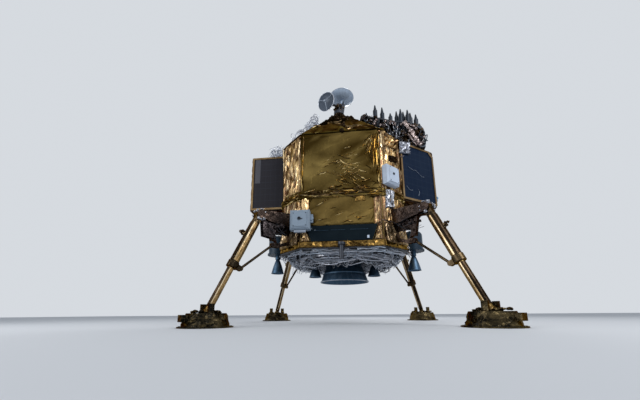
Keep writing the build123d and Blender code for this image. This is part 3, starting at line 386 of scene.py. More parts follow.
# Finishes of single pieces: the lower and corner walls, roof, arms, struts, folds, scraps and dishes
LOWER_FINISH = foil_finish("lower foil", DEEP_GOLD, (0.405, 0.275, 0.088), 0.26, 0.06, **CALM_WALL)
CORNER_FINISH = foil_finish(
    "corner foil", (0.125, 0.066, 0.036), (0.93, 0.64, 0.31), 0.07, 0.25, stretch=(1, 1, 0.4), valley_shade=0.60,
    facets=0.55, crease=(4.5, 0.6, 0.024), turn=1.5, run=4.0
)
SKIRT_FINISH = foil_finish(
    "skirt foil", (0.160, 0.105, 0.060), (0.78, 0.58, 0.36), 0.06, 0.3, valley_shade=0.6, facets=0.45,
    crease=(5.0, 0.6, 0.02), turn=0.9, run=2.5
)
ROOF_FINISH = foil_finish(
    "roof foil", (0.018, 0.013, 0.006), (0.375, 0.282, 0.090), 0.26, 0.08, valley_shade=0.25, facets=0.05,
    crease=(2.6, 0.6, 0.04), turn=0.2, run=2.8, top_shade=(5.25, 6.30), edge=(0.30, 0.22, 0.10), patchy=0.08,
    line_glint=0.0, smooth=0.34, rough=0.46
)
SILL_FINISH = foil_finish("sill foil", (0.040, 0.022, 0.006), (0.50, 0.30, 0.085), 0.10, 0.2, valley_shade=0.6)
# Lighter copies of the gold foil and the pale peach corner foil for pleats: painted highlight, with painted
# lit and shaded flanks
FOLD_HIGHLIGHT_FINISH = foil_finish("folds with painted highlight", (0.060, 0.036, 0.010), (0.86, 0.64, 0.28), 0.20, 0.08, facets=0.75,
                          **OWN_FOLDS)
PALE_HIGHLIGHT_FINISH = foil_finish("pale folds with painted highlight", (0.15, 0.086, 0.046), (1.0, 0.78, 0.46), 0.20, 0.08, facets=0.70,
                          **OWN_FOLDS)
# Darker foil for creases and the seam: painted shadow
SHADOW_FINISH = foil_finish("shadow folds", (0.026, 0.017, 0.008), (0.260, 0.172, 0.080), 0.2, 0.08,
                            facets=0.6)
ARM_FINISH = foil_finish("arm foil", (0.020, 0.015, 0.014), (0.115, 0.080, 0.062), 0.07, 0.35)
CURTAIN_FINISH = foil_finish("curtain foil", (0.030, 0.025, 0.026), (0.20, 0.165, 0.165), 0.07, 0.3)
KNOT_FINISH = foil_finish("knot foil", (0.008, 0.006, 0.005), (0.085, 0.058, 0.034), 0.05, 0.5)
SCRAP_FINISH = foil_finish("scrap foil", (0.17, 0.125, 0.12), (0.62, 0.52, 0.50), 0.05, 0.4)
SILVER_FINISH = foil_finish("silver foil", (0.14, 0.15, 0.19), (0.85, 0.88, 0.95), 0.05, 0.5)
STRUT_FINISH = foil_finish("strut foil", (0.120, 0.066, 0.024), (0.54, 0.36, 0.16), 0.10, 0.10,
                           crease=(7.0, 0.3, 0.006), stain=0.3, **STRUT_WRAP)
# Strips of painted highlight and a dark band of painted reflection, laid along the struts
SHINE_FINISH = foil_finish("strut highlight", (0.40, 0.28, 0.14), (1.0, 0.84, 0.58), 0.10, 0.10, stain=0.2,
                           **STRUT_WRAP)
DARK_REFLECTION_FINISH = foil_finish("strut dark reflection", (0.014, 0.010, 0.007), (0.070, 0.046, 0.027), 0.09, 0.12)
COLLAR_FINISH = foil_finish("collar foil", (0.020, 0.015, 0.010), (0.185, 0.130, 0.070), 0.06, 0.2,
                            valley_shade=0.3)
STRIP_FINISH = solid_finish("panel strip", (0.060, 0.060, 0.072), (0.03, 0.03, 0.036), 0.0, 0.35, 0.5,
                            shine=0.3)
# Dark shell inside the second dish: painted shade
BOWL_SHADE_FINISH = solid_finish("dish bowl shade", (0.066, 0.086, 0.118), (0.14, 0.17, 0.21), 0.2, 0.3, 0.5)
PALE_DISH = solid_finish("pale dish", (0.42, 0.51, 0.63), (0.23, 0.27, 0.33), 0.3, 0.25, 0.45)

# Each CAD node has the finish of its slot in the part's own record, but a few have one of their own
NODE_FINISHES = {"leg_arm": ARM_FINISH, "leg_cylinder": COLLAR_FINISH, "drag_struts": COLLAR_FINISH,
                 "antenna_dish": PALE_DISH}
for part in frame["record"]["subparts"]:
    finish = FINISHES[part["material_slot"]]
    for start, own in NODE_FINISHES.items():
        if part["node"].startswith(start):
            finish = own
    node = nodes[part["node"]]
    node.data.materials.clear()
    node.data.materials.append(finish)


# Pieces made as meshes

def placed(name, data, slot_name, body="lander", stands_for=(), finish=None):
    """Puts a finished mesh into the scene as a piece that rides on a body."""
    if not data.materials:
        data.materials.append(finish or FINISHES[slot_name])
    piece = bpy.data.objects.new(name, data)
    bpy.context.scene.collection.objects.link(piece)
    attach(piece, body)
    if stands_for:
        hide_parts(*stands_for)
    return piece


def finish_piece(name, mesh, slot_name, body="lander", stands_for=(), smooth=False, finish=None):
    """Turns a bmesh into a piece that rides on a body."""
    bmesh.ops.remove_doubles(mesh, verts=mesh.verts, dist=1e-5)
    bmesh.ops.recalc_face_normals(mesh, faces=mesh.faces)
    data = bpy.data.meshes.new(name)
    for face in mesh.faces:
        face.smooth = smooth
    mesh.to_mesh(data)
    mesh.free()
    if smooth:
        data.set_sharp_from_angle(angle=math.radians(32))
    return placed(name, data, slot_name, body, stands_for, finish)


# Node trees for wiring and fasteners

def geometry_tree(name, inputs, build):
    """A tree that takes a mesh, numbers and a material, and puts out plain painted shapes."""
    tree = bpy.data.node_groups.new(name, "GeometryNodeTree")
    tree.interface.new_socket("Geometry", in_out="INPUT", socket_type="NodeSocketGeometry")
    for label, kind in inputs.items():
        tree.interface.new_socket(label, in_out="INPUT", socket_type="NodeSocket" + kind)
    tree.interface.new_socket("Geometry", in_out="OUTPUT", socket_type="NodeSocketGeometry")
    given = tree.nodes.new("NodeGroupInput").outputs
    real = add(tree, "GeometryNodeRealizeInstances", {"Geometry": build(tree, given)})
    sockets = {"Geometry": real.outputs[0], "Material": given["Material"]}
    painted = add(tree, "GeometryNodeSetMaterial", sockets)
    tree.links.new(painted.outputs[0], tree.nodes.new("NodeGroupOutput").inputs[0])
    return tree


def tube_shapes(tree, given):
    """Round tubes along the edges of a mesh, with bends smoothed."""
    curve = add(tree, "GeometryNodeMeshToCurve", {"Mesh": given["Geometry"]}).outputs[0]
    bent = add(tree, "GeometryNodeCurveSplineType", {"Curve": curve}, spline_type="CATMULL_ROM").outputs[0]
    sockets = {"Curve": bent, "Length": given["Step"]}
    even = add(tree, "GeometryNodeResampleCurve", sockets, mode="LENGTH").outputs[0]
    sockets = {"Resolution": given["Sides"], "Radius": given["Radius"]}
    ring = add(tree, "GeometryNodeCurvePrimitiveCircle", sockets).outputs[0]
    sockets = {"Curve": even, "Profile Curve": ring, "Fill Caps": True}
    tube = add(tree, "GeometryNodeCurveToMesh", sockets).outputs[0]
    return add(tree, "GeometryNodeSetShadeSmooth", {"Geometry": tube}).outputs[0]


def stud_shapes(tree, given):
    """A hexagon head on a washer at each point, facing along the attribute out."""
    points = add(tree, "GeometryNodeMeshToPoints", {"Mesh": given["Geometry"]}).outputs[0]
    washer_radius = maths(tree, "MULTIPLY", given["Radius"], 1.5)
    washer_height = maths(tree, "MULTIPLY", given["Height"], 0.35)
    both = add(tree, "GeometryNodeJoinGeometry")
    for sides, radius, height in ((10, washer_radius, washer_height), (6, given["Radius"], given["Height"])):
        disc = add(tree, "GeometryNodeMeshCylinder", {"Vertices": sides, "Radius": radius, "Depth": height})
        rise = add(tree, "ShaderNodeCombineXYZ", {"Z": maths(tree, "MULTIPLY", height, 0.5)}).outputs[0]
        sockets = {"Geometry": disc.outputs["Mesh"], "Translation": rise}
        tree.links.new(add(tree, "GeometryNodeTransform", sockets).outputs[0], both.inputs[0])
    facing = add(tree, "GeometryNodeInputNamedAttribute", {"Name": "out"}, data_type="FLOAT_VECTOR")
    sockets = {"Vector": facing.outputs["Attribute"]}
    turn = add(tree, "FunctionNodeAlignRotationToVector", sockets, axis="Z").outputs[0]
    sockets = {"Points": points, "Instance": both.outputs[0], "Rotation": turn}
    return add(tree, "GeometryNodeInstanceOnPoints", sockets).outputs[0]


TUBES = geometry_tree("tubes on paths", {"Radius": "Float", "Step": "Float", "Sides": "Int",
                                         "Material": "Material"}, tube_shapes)
STUDS = geometry_tree("studs on points", {"Radius": "Float", "Height": "Float", "Material": "Material"},
                      stud_shapes)


def grown(name, data, tree, values, slot_name, body):
    """Runs a node tree on a mesh and keeps the plain result as a piece."""
    seed = bpy.data.objects.new(name + "_seed", data)
    bpy.context.scene.collection.objects.link(seed)
    modifier = seed.modifiers.new("grow", "NODES")
    modifier.node_group = tree
    given = dict(values, Material=FINISHES[slot_name])
    for item in tree.interface.items_tree:
        if item.in_out == "INPUT" and item.name in given:
            modifier[item.identifier] = given[item.name]
    seed.update_tag()
    depsgraph = bpy.context.evaluated_depsgraph_get()
    result = bpy.data.meshes.new_from_object(seed.evaluated_get(depsgraph))
    result.name = name
    seed.modifiers.remove(modifier)
    bpy.data.objects.remove(seed)
    return placed(name, result, slot_name, body)


def tubes(name, paths, radius, slot_name, body="lander", step=0.035, sides=5, closed=False):
    """Tubes along paths, each a list of points; closed joins the last point to the first."""
    lines = bmesh.new()
    for points in paths:
        row = [lines.verts.new(point) for point in points]
        for first, second in zip(row, row[1:]):
            lines.edges.new((first, second))
        if closed:
            lines.edges.new((row[-1], row[0]))
    data = bpy.data.meshes.new(name)
    lines.to_mesh(data)
    lines.free()
    return grown(name, data, TUBES, {"Radius": radius, "Step": step, "Sides": sides}, slot_name, body)


def studs(name, places, radius, height, slot_name):
    """Fasteners, each a point and the way that it faces."""
    data = bpy.data.meshes.new(name)
    data.from_pydata([place for place, facing in places], [], [])
    out = data.attributes.new("out", "FLOAT_VECTOR", "POINT")
    for index, (place, facing) in enumerate(places):
        out.data[index].vector = facing
    return grown(name, data, STUDS, {"Radius": radius, "Height": height}, slot_name, "lander")


# Foil

def foil_mesh():
    """An empty mesh whose points carry depth, which paints shade into valleys and highlight onto ridges, and
    whose facets carry tone.
    """
    mesh = bmesh.new()
    mesh.verts.layers.float.new("depth")
    mesh.faces.layers.float.new("tone")
    return mesh


def outward(angle):
    return Vector((math.sin(math.radians(angle)), -math.cos(math.radians(angle)), 0))


def wall_point(angle, distance, across, height):
    out = outward(angle)
    along = UP.cross(out)
    return out * distance + along * across + UP * height


def leg_point(angle, distance, height):
    return outward(angle) * distance + UP * height


def turns_of(count):
    return [2 * math.pi * step / count for step in range(count)]


def round_point(x, turn, reach, height):
    """A point round an upright line that stands at x in the lander's middle plane."""
    return Vector((x + math.cos(turn) * reach, math.sin(turn) * reach, height))


def crumpled(mesh, corners, lift, relief, fold, seed, run=1.0, lean=0.0, calm=1.0, hem=0.05, backed=True,
             swell=None):
    """Crumpled foil on four corners, listed anticlockwise from outside.

    The facets are triangles between scattered points, which stand at lift over the corners and up
    to relief above and below it. They are fold wide and run times as long, turned by lean. Calm
    below 1 leaves broad facets in the middle and small ones at the edges, hem is the sloped border,
    and swell gives a further rise at a place across and up the sheet.
    """
    depth = mesh.verts.layers.float["depth"]
    tone = mesh.faces.layers.float["tone"]
    low_left, low_right, high_right, high_left = corners
    normal = (low_right - low_left).cross(high_left - low_left).normalized()
    width = max((low_right - low_left).length, (high_right - high_left).length)
    height = max((high_left - low_left).length, (high_right - low_right).length)
    dice = random.Random(seed)
    along = (math.sin(lean), math.cos(lean))
    across = (math.cos(lean), -math.sin(lean))
    wide, tall = max(3, round(width / fold)), max(3, round(height / (fold * run)))
    edge = [(step / wide, 0.0) for step in range(wide)]
    edge += [(1.0, step / tall) for step in range(tall)]
    edge += [(1.0 - step / wide, 1.0) for step in range(wide)]
    edge += [(0.0, 1.0 - step / tall) for step in range(tall)]
    spots = [(u, v, 0.0) for u, v in edge]
    inset = (min(0.45, hem / width), min(0.45, hem / height))
    for u, v in edge:
        inner = (min(max(u, inset[0]), 1 - inset[0]), min(max(v, inset[1]), 1 - inset[1]))
        spots.append((*inner, lift + relief * dice.uniform(-0.4, 0.5)))
    reach = math.hypot(width, height) / 2
    columns = int(reach / fold) + 1
    rows = int(reach / (fold * run)) + 1
    for column in range(-columns, columns + 1):
        for row in range(-rows, rows + 1):
            c = (column + dice.uniform(-0.45, 0.45)) * fold
            a = (row + dice.uniform(-0.45, 0.45)) * fold * run
            x = width / 2 + c * across[0] + a * along[0]
            y = height / 2 + c * across[1] + a * along[1]
            border = min(x, width - x, y, height - y)
            keep = dice.random()
            rise = dice.uniform(-1, 1)
            if border < hem + 0.35 * fold:
                continue
            centre = min(1.0, (border - hem) / 0.30)
            if keep > 1 + (calm - 1) * centre:
                continue
            spots.append((x / width, y / height, lift + relief * rise))
    flat = [
        Vector((
            (u * width * across[0] + v * height * across[1]) / fold,
            (u * width * along[0] + v * height * along[1]) / (fold * run),
        ))
        for u, v, rise in spots
    ]
    solved = geometry.delaunay_2d_cdt(flat, [], [], 0, 1e-4)
    points = []
    for index, sources in enumerate(solved[3]):
        u, v, rise = spots[sources[0]]
        spot = low_left.lerp(low_right, u).lerp(high_left.lerp(high_right, u), v)
        extra = swell(u, v) if swell else 0.0
        point = mesh.verts.new(spot + normal * (rise + extra))
        # Points on the border get painted shade along the sheet's edges
        point[depth] = max(-1.0, min(1.0, (rise - lift) / relief)) if rise else -0.6
        points.append(point)
    for triangle in solved[2]:
        mesh.faces.new([points[index] for index in triangle])[tone] = dice.uniform(-0.5, 0.5)
    if backed:
        rim = {}
        for index, sources in enumerate(solved[3]):
            if sources[0] < len(edge):
                rim[sources[0]] = points[index]
        mesh.faces.new([rim[key] for key in sorted(rim)][::-1])


def wall_patch(mesh, angle, distance, low_pair, high_pair, low, high, **sizes):
    """Foil on a wall between two places across at its foot and two at its head."""
    places = ((low_pair[0], low), (low_pair[1], low), (high_pair[1], high), (high_pair[0], high))
    crumpled(mesh, [wall_point(angle, distance, across, height) for across, height in places], **sizes)


def wall_foil(mesh, angle, distance, half, low, high, **sizes):
    wall_patch(mesh, angle, distance, (-half, half), (-half, half), low, high, **sizes)


def taper_corners(angle, reach, half, scale, low, high):
    """Corners of a piece whose head is scale times as wide and as far out as its foot."""
    return [wall_point(angle, reach * share, hand * half * share, height)
            for share, height, hand in ((1, low, -1), (1, low, 1), (scale, high, 1), (scale, high, -1))]


def crumpled_ball(mesh, centre, size, seed, flatten=1.0, detail=2):
    """A bunched lump of foil."""
    dice = random.Random(seed)
    depth = mesh.verts.layers.float["depth"]
    lump = bmesh.ops.create_icosphere(mesh, subdivisions=detail, radius=1.0)["verts"]
    for vert in lump:
        share = dice.uniform(-1, 1)
        # Depth follows the lump's bulges: painted highlight on bulges, painted shade in dents
        vert[depth] = share
        grow = size * (0.95 + 0.23 * share)
        vert.co = centre + Vector((vert.co.x * grow, vert.co.y * grow, vert.co.z * grow * flatten))


def wrapped_tube(mesh, start, end, start_radius, end_radius, seed, rings, sides, relief, facing=None,
                 span_of=360):
    """Foil wound on a strut: long facets, closed at both ends. With a facing it is a strip on one side."""
    dice = random.Random(seed)
    depth = mesh.verts.layers.float["depth"]
    axis = (end - start).normalized()
    first = facing if facing else UP
    side = (first - axis * first.dot(axis)).normalized()
    other = axis.cross(side)
    whole = span_of == 360
    grid = []
    for row in range(rings + 1):
        t = row / rings
        radius = start_radius + (end_radius - start_radius) * t
        line = []
        count = sides if whole else sides + 1
        for column in range(count):
            share = column / sides - (0.0 if whole else 0.5)
            turn = math.radians(span_of * (share + dice.uniform(-0.16, 0.16) / sides))
            reach = radius + (relief * dice.uniform(-1, 1) if 0 < row < rings else 0.0)
            slide = dice.uniform(-0.25, 0.25) / rings if 0 < row < rings else 0.0
            spot = start.lerp(end, t + slide)
            point = mesh.verts.new(spot + (side * math.cos(turn) + other * math.sin(turn)) * reach)
            point[depth] = dice.uniform(-0.6, 0.6)
            line.append(point)
        grid.append(line)
    for row in range(rings):
        for column in range(sides):
            after = (column + 1) % len(grid[row])
            square = (grid[row][column], grid[row][after], grid[row + 1][after], grid[row + 1][column])
            for halves in (((0, 1, 2), (0, 2, 3)) if (row + column) % 2 else ((0, 1, 3), (1, 2, 3))):
                mesh.faces.new([square[pick] for pick in halves])
    if whole:
        mesh.faces.new(grid[0])
        mesh.faces.new(grid[-1][::-1])


PLEAT_WANDER = 0.25
PLEAT_SINK = 0.012


def pleat(mesh, start, end, out, width, rise, dice, steps=6):
    """One long folded ridge of foil that narrows to both ends, painted lit on its ridge and one flank and
    painted shaded on the other flank and one foot.
    """
    depth = mesh.verts.layers.float["depth"]
    tone = mesh.faces.layers.float["tone"]
    run = end - start
    side = out.cross(run).normalized()
    lit_flank = 1 if dice.random() < 0.72 else -1
    tip = mesh.verts.new(start)
    rows = []
    for step in range(1, steps):
        t = step / steps
        swell = math.sin(math.pi * t) * dice.uniform(0.6, 1.15) + 0.15
        along = run * (t + dice.uniform(-0.3, 0.3) / steps)
        spot = start + along + side * width * dice.uniform(-1, 1) * PLEAT_WANDER
        left = mesh.verts.new(spot - side * width * 0.5 * swell - out * PLEAT_SINK)
        right = mesh.verts.new(spot + side * width * 0.5 * swell - out * PLEAT_SINK)
        top = mesh.verts.new(spot + side * width * dice.uniform(-0.2, 0.2) + out * rise * swell)
        # Painted light on the points: the ridge lit, one foot shaded
        for vert, level in ((left, -0.8), (right, 0.1), (top, 1.0)):
            vert[depth] = level
        rows.append((left, top, right))
    last = mesh.verts.new(end)
    for first, second in zip(rows, rows[1:]):
        # Painted light on the faces: one flank lit, the other shaded, the base darker
        for a, level in ((0, 0.9 * lit_flank), (1, -0.8 * lit_flank), (2, -0.5)):
            b = (a + 1) % 3
            face = mesh.faces.new((first[a], first[b], second[b], second[a]))
            face[tone] = level * dice.uniform(0.5, 1.1)
    for a in range(3):
        b = (a + 1) % 3
        mesh.faces.new((tip, rows[0][b], rows[0][a]))
        mesh.faces.new((last, rows[-1][a], rows[-1][b]))


def wall_pleats(mesh, angle, distance, lines, dice, width, rise, steps=6):
    """Pleats on a wall, each from one place across and up to another."""
    for across, height, to_across, to_height in lines:
        start = wall_point(angle, distance, across, height)
        end = wall_point(angle, distance, to_across, to_height)
        wide, high = width * dice.uniform(0.7, 1.3), rise * dice.uniform(0.6, 1.3)
        pleat(mesh, start, end, outward(angle), wide, high, dice, steps)


def slanted(across, height, length, turn):
    """A line on a wall from a place across and up, as long and as steep as given."""
    return across, height, across + length * math.cos(turn), height + length * math.sin(turn)


# Walls

WALL_BASE = WALL_REACH - BLANKET
CORNER_BASE = CORNER_REACH - BLANKET
UPPER_HALF = WALL_FLAT - EDGE_MARGIN
CORNER_PANEL_HALF = CORNER_HALF - EDGE_MARGIN
FRONT_BACK = (0, 180)
SIDES = (90, 270)

OCTAGON = [(angle, WALL_REACH, WALL_FLAT) for angle in (0, 90, 180, 270)]
OCTAGON += [(angle, CORNER_REACH, CORNER_HALF) for angle in CORNERS]

upper = foil_mesh()
for angle in FRONT_BACK:
    wall_foil(upper, angle, WALL_BASE, UPPER_HALF, ABOVE_BELT, EAVE, lift=BLANKET, relief=0.018, fold=0.16,
              seed=1 + angle, run=2.2, lean=1.2, calm=0.8, hem=0.03)
finish_piece("upper_foil", upper, "gold_foil", stands_for=("upper_blankets",), smooth=True)

# Long folds: scattered over the middle, fanned down from one upper corner, and along both edges, with
# painted highlight and painted shade on their flanks
folds = foil_mesh()
dice = random.Random(3)
for angle in FRONT_BACK:
    lines = []
    for count in range(40):
        across, height = dice.triangular(-0.75, 0.85, 0.15), dice.triangular(3.45, 4.6, 3.75)
        length, turn = dice.uniform(0.14, 0.50), math.radians(dice.choice((14, 22, 30, -24, -36, 6)))
        lines.append(slanted(across, height, length, turn))
    for count in range(12):
        across = dice.uniform(-0.7, 0.55)
        height = dice.choice((dice.uniform(2.50, 2.62), dice.uniform(2.6, 3.1)))
        length, turn = dice.uniform(0.12, 0.34), math.radians(dice.choice((12, 24, -18, 4)))
        lines.append(slanted(across, height, length, turn))
    wall_pleats(folds, angle, WALL_REACH + 0.016, lines, dice, 0.030, 0.009)
    fan = []
    for count in range(16):
        share = count / 15
        low_at, high = 0.56 + 0.42 * share + dice.uniform(-0.02, 0.02), dice.uniform(4.78, 5.04)
        low = 4.62 - 0.95 * share + dice.uniform(-0.15, 0.15)
        fan.append((low_at, low, 0.86 + 0.13 * share, high))
    wall_pleats(folds, angle, WALL_REACH + 0.018, fan, dice, 0.030, 0.012, steps=8)
    edges = []
    for hand in (-1, 1):
        for low in (3.36, 3.75, 4.1, 4.5):
            across = hand * dice.uniform(0.985, 1.015)
            edges.append((across, low, across + dice.uniform(-0.02, 0.02), low + dice.uniform(0.45, 0.62)))
    wall_pleats(folds, angle, WALL_REACH + 0.014, edges, dice, 0.036, 0.016, steps=8)
finish_piece("front_folds", folds, "gold_foil", finish=FOLD_HIGHLIGHT_FINISH)

lower = foil_mesh()
for angle in FRONT_BACK:
    wall_foil(lower, angle, WALL_BASE, LOWER_PANEL_HALF, LOWER_PANEL_FOOT, BELT, lift=BLANKET, relief=0.022,
              fold=0.12, seed=2 + angle, run=1.8, lean=1.15, calm=0.7)
finish_piece("lower_foil", lower, "gold_foil", stands_for=("lower_blankets",), smooth=True,
             finish=LOWER_FINISH)

corner = foil_mesh()
for angle in CORNERS:
    for low, high in ((SILL, BELT), (ABOVE_BELT, EAVE)):
        wall_foil(corner, angle, CORNER_BASE, CORNER_PANEL_HALF, low, high, lift=BLANKET, relief=0.026,
                  fold=0.062, seed=angle + low, run=2.3, lean=0.15)
finish_piece("corner_foil", corner, "amber_foil", stands_for=("corner_blankets",), finish=CORNER_FINISH)

# Pale pleats with painted highlight and painted shade on their flanks down the corner walls, and a broad fan
# of them at one upper corner
FAN_ACROSS = -0.40
FAN_HEIGHT = 4.98
drapes = foil_mesh()
dice = random.Random(29)
for angle in CORNERS:
    lines = []
    for count in range(16):
        across, height = dice.uniform(-0.39, 0.39), dice.uniform(3.4, 4.6)
        lines.append((across, height, across + dice.uniform(-0.08, 0.08), height + dice.uniform(0.2, 0.55)))
    for count in range(7):
        across, height = dice.uniform(-0.38, 0.38), dice.uniform(2.15, 2.8)
        lines.append((across, height, across + dice.uniform(-0.14, 0.14), height + dice.uniform(0.2, 0.5)))
    wall_pleats(drapes, angle, CORNER_REACH + 0.018, lines, dice, 0.036, 0.016)
    if angle in (45, 225):
        fan = []
        for count in range(9):
            turn = math.radians(-12 - 9.5 * count)
            line = slanted(FAN_ACROSS, FAN_HEIGHT, dice.uniform(0.45, 0.72), turn)
            fan.append((*line[:2], min(-FAN_ACROSS, line[2]), line[3]))
        wall_pleats(drapes, angle, CORNER_REACH + 0.020, fan, dice, 0.085, 0.020, steps=7)
finish_piece("corner_folds", drapes, "amber_foil", finish=PALE_HIGHLIGHT_FINISH)

aprons = foil_mesh()
for angle in SIDES:
    wall_foil(aprons, angle, WALL_BASE, UPPER_HALF, SILL, BELT, lift=BLANKET, relief=0.026, fold=0.07,
              seed=angle, run=1.6, lean=0.3)
for angle in FRONT_BACK:
    for hand in (-1, 1):
        beside_panel, at_foot, at_head = (
            sorted((hand * near, hand * UPPER_HALF))
            for near in (LOWER_PANEL_HALF + 0.006, RADIATOR_FOOT_HALF, RADIATOR_HEAD_HALF)
        )
        wall_patch(aprons, angle, WALL_BASE, beside_panel, beside_panel, LOWER_PANEL_FOOT, BELT,
                   lift=BLANKET, relief=0.02, fold=0.045, seed=5 + angle + hand, run=2.6)
        wall_patch(aprons, angle, WALL_BASE, at_foot, at_head, SILL, LOWER_PANEL_FOOT,
                   lift=BLANKET, relief=0.022, fold=0.045, seed=8 + angle + hand, run=1.5)
for hand in (-1, 1):
    beside_bay = sorted((hand * (LEFT_BAY_HALF + 0.051), hand * UPPER_HALF))
    wall_patch(aprons, 270, WALL_BASE, beside_bay, beside_bay, ABOVE_BELT, EAVE,
               lift=BLANKET, relief=0.02, fold=0.06, seed=12 + hand, run=2.6)
finish_piece("apron_foil", aprons, "amber_foil", stands_for=("aprons",), finish=CORNER_FINISH)


# Folded seam round the body: two hems that overlap with painted shadow between them, a dark strip and dark
# pleats, and pleats with painted highlight over it
def seam_pleats(mesh, seed, rate, furthest, heights, lengths, drift, lift, width, rise):
    """Pleats along the seam of every wall; ranges are of their heights, lengths and slopes."""
    dice = random.Random(seed)
    for angle, distance, half in OCTAGON:
        lines = []
        for count in range(round(half * rate)):
            across, height = dice.uniform(-half, half * furthest), dice.triangular(*heights)
            length = min(half - across, dice.uniform(*lengths))
            lines.append((across, height, across + length, height + dice.uniform(*drift)))
        wall_pleats(mesh, angle, distance + lift, lines, dice, width, rise, steps=7)


seam, gap, tucks = (foil_mesh() for piece in range(3))
for angle, distance, half in OCTAGON:
    for low, high, tilt in ((ABOVE_BELT - 0.010, ABOVE_BELT + 0.10, 3), (BELT - 0.10, BELT + 0.002, 4)):
        wall_foil(seam, angle, distance - 0.004, half - 0.004, low, high,
                  lift=0.026, relief=0.018, fold=0.11, seed=angle + tilt, run=0.5, hem=0.03)
    wall_foil(gap, angle, distance + 0.010, half, BELT - 0.004, ABOVE_BELT + 0.004,
              lift=0.012, relief=0.006, fold=0.10, seed=angle + 9, run=0.3, hem=0.008)
finish_piece("seam_foil", seam, "gold_foil")
seam_pleats(tucks, 17, 24, 0.8, (3.12, 3.47, 3.30), (0.18, 0.62), (-0.07, 0.09), 0.030, 0.040, 0.018)
finish_piece("seam_folds", tucks, "gold_foil", finish=FOLD_HIGHLIGHT_FINISH)
# Dark pleats of painted shadow over the dark strip
seam_pleats(gap, 19, 11, 0.7, (3.18, 3.46, 3.32), (0.25, 0.6), (-0.10, 0.12), 0.034, 0.042, 0.012)
finish_piece("seam_painted_shadow", gap, "dark_foil", finish=SHADOW_FINISH)

# Foil turned over the eave, crumpled strip round the sill, and flared skirts under the corner walls
EAVE_SHRINK = 1 - 0.14 * (WALL_REACH - ROOF_TOP_REACH) / (ROOF_TOP - EAVE) / WALL_REACH
eave = foil_mesh()
sill = foil_mesh()
for angle, distance, half in OCTAGON:
    crumpled(eave, taper_corners(angle, distance, half, EAVE_SHRINK, EAVE - 0.12, EAVE + 0.14),
             lift=0.024, relief=0.010, fold=0.16, seed=angle + 61, run=0.8, hem=0.06)
    wall_foil(sill, angle, distance, half, DECK - 0.03, SILL + 0.012,
              lift=0.022, relief=0.018, fold=0.07, seed=angle + 30, run=0.6, hem=0.025)
finish_piece("eave_foil", eave, "gold_foil", smooth=True)
finish_piece("sill_foil", sill, "amber_foil", stands_for=("sill_band",), finish=SILL_FINISH)
skirts = foil_mesh()
for angle in CORNERS:
    low_corners, high_corners = (
        [wall_point(angle, CORNER_REACH + out, hand * (CORNER_HALF - inset), height) for hand in (-1, 1)]
        for out, inset, height in ((0.07, 0.03, SILL - 0.06), (0.005, 0.02, SILL + 0.44))
    )
    crumpled(skirts, low_corners + high_corners[::-1],
             lift=0.012, relief=0.02, fold=0.055, seed=angle + 51, run=1.8, hem=0.03)
finish_piece("corner_skirts", skirts, "amber_foil", finish=SKIRT_FINISH)

# Roof: eight crumpled faces with bunches of foil, and the small flat top
ROOF_SCALE = ROOF_TOP_REACH / WALL_REACH
WIDE_BUNCHES = ((-0.62, 0.16), (0.02, 0.13), (0.60, 0.18), (-0.34, 0.41), (0.38, 0.43), (-0.50, 0.66),
                (0.48, 0.64), (0.04, 0.86))
SIDE_BUNCHES = ((0.30, 0.16), (0.78, 0.17), (0.52, 0.42), (0.30, 0.66), (0.0, 0.86))
CORNER_BUNCHES = ((0.0, 0.20), (0.0, 0.50))
ROOF_FACES = [(angle, WALL_REACH, WALL_FLAT, WIDE_BUNCHES) for angle in FRONT_BACK]
ROOF_FACES += [(90, WALL_REACH, WALL_FLAT, SIDE_BUNCHES)]
ROOF_FACES += [(270, WALL_REACH, WALL_FLAT, [(-across, up) for across, up in SIDE_BUNCHES])]
ROOF_FACES += [(angle, CORNER_REACH, CORNER_HALF, CORNER_BUNCHES) for angle in CORNERS]
BUNCH_HALF_WIDTH = 0.145
BUNCH_HALF_LENGTH = 0.115
BUNCH_RISE = 0.06
BUNCH_TOP_SHARE = 0.4


def roof_swell(reach, half, bunches):
    """Rise of a roof face over its bunches, which are low blocks with sloped sides."""
    slant = math.hypot(ROOF_TOP - EAVE, reach * (1 - ROOF_SCALE))

    def rise(u, v):
        most = 0.0
        for across, up in bunches:
            width_here = half * (1 - (1 - ROOF_SCALE) * v)
            width_there = half * (1 - (1 - ROOF_SCALE) * up)
            aside = abs((2 * u - 1) * width_here - across * width_there) / BUNCH_HALF_WIDTH
            along = abs(v - up) * slant / BUNCH_HALF_LENGTH
            share = (1 - max(aside, along)) / (1 - BUNCH_TOP_SHARE)
            most = max(most, min(1.0, share))
        return most * BUNCH_RISE

    return rise


roof = foil_mesh()
for angle, reach, half, bunches in ROOF_FACES:
    crumpled(roof, taper_corners(angle, reach, half, ROOF_SCALE, EAVE, ROOF_TOP), 0.012, 0.022, 0.13,
             20 + angle, run=1.5, hem=0.04, backed=False, swell=roof_swell(reach, half, bunches))
for scale, height, flip in ((1, EAVE, -1), (ROOF_SCALE, ROOF_TOP, 1)):
    ring = [wall_point(angle, WALL_REACH * scale, across * WALL_FLAT * scale, height)
            for angle in (0, 90, 180, 270) for across in (-1, 1)]
    roof.faces.new([roof.verts.new(point) for point in ring][::flip])
finish_piece("roof_foil", roof, "dark_foil", stands_for=("roof",), smooth=True, finish=ROOF_FINISH)


def roof_reach(height):
    share = (height - EAVE) / (ROOF_TOP - EAVE)
    return WALL_REACH + (ROOF_TOP_REACH - WALL_REACH) * share


def roof_height(x, least=0.0):
    """Height of the roof above a place to the left or right, and of the bays' tops beyond it."""
    return EAVE + max(least, (WALL_REACH - abs(x)) / (WALL_REACH - ROOF_TOP_REACH) * (ROOF_TOP - EAVE))


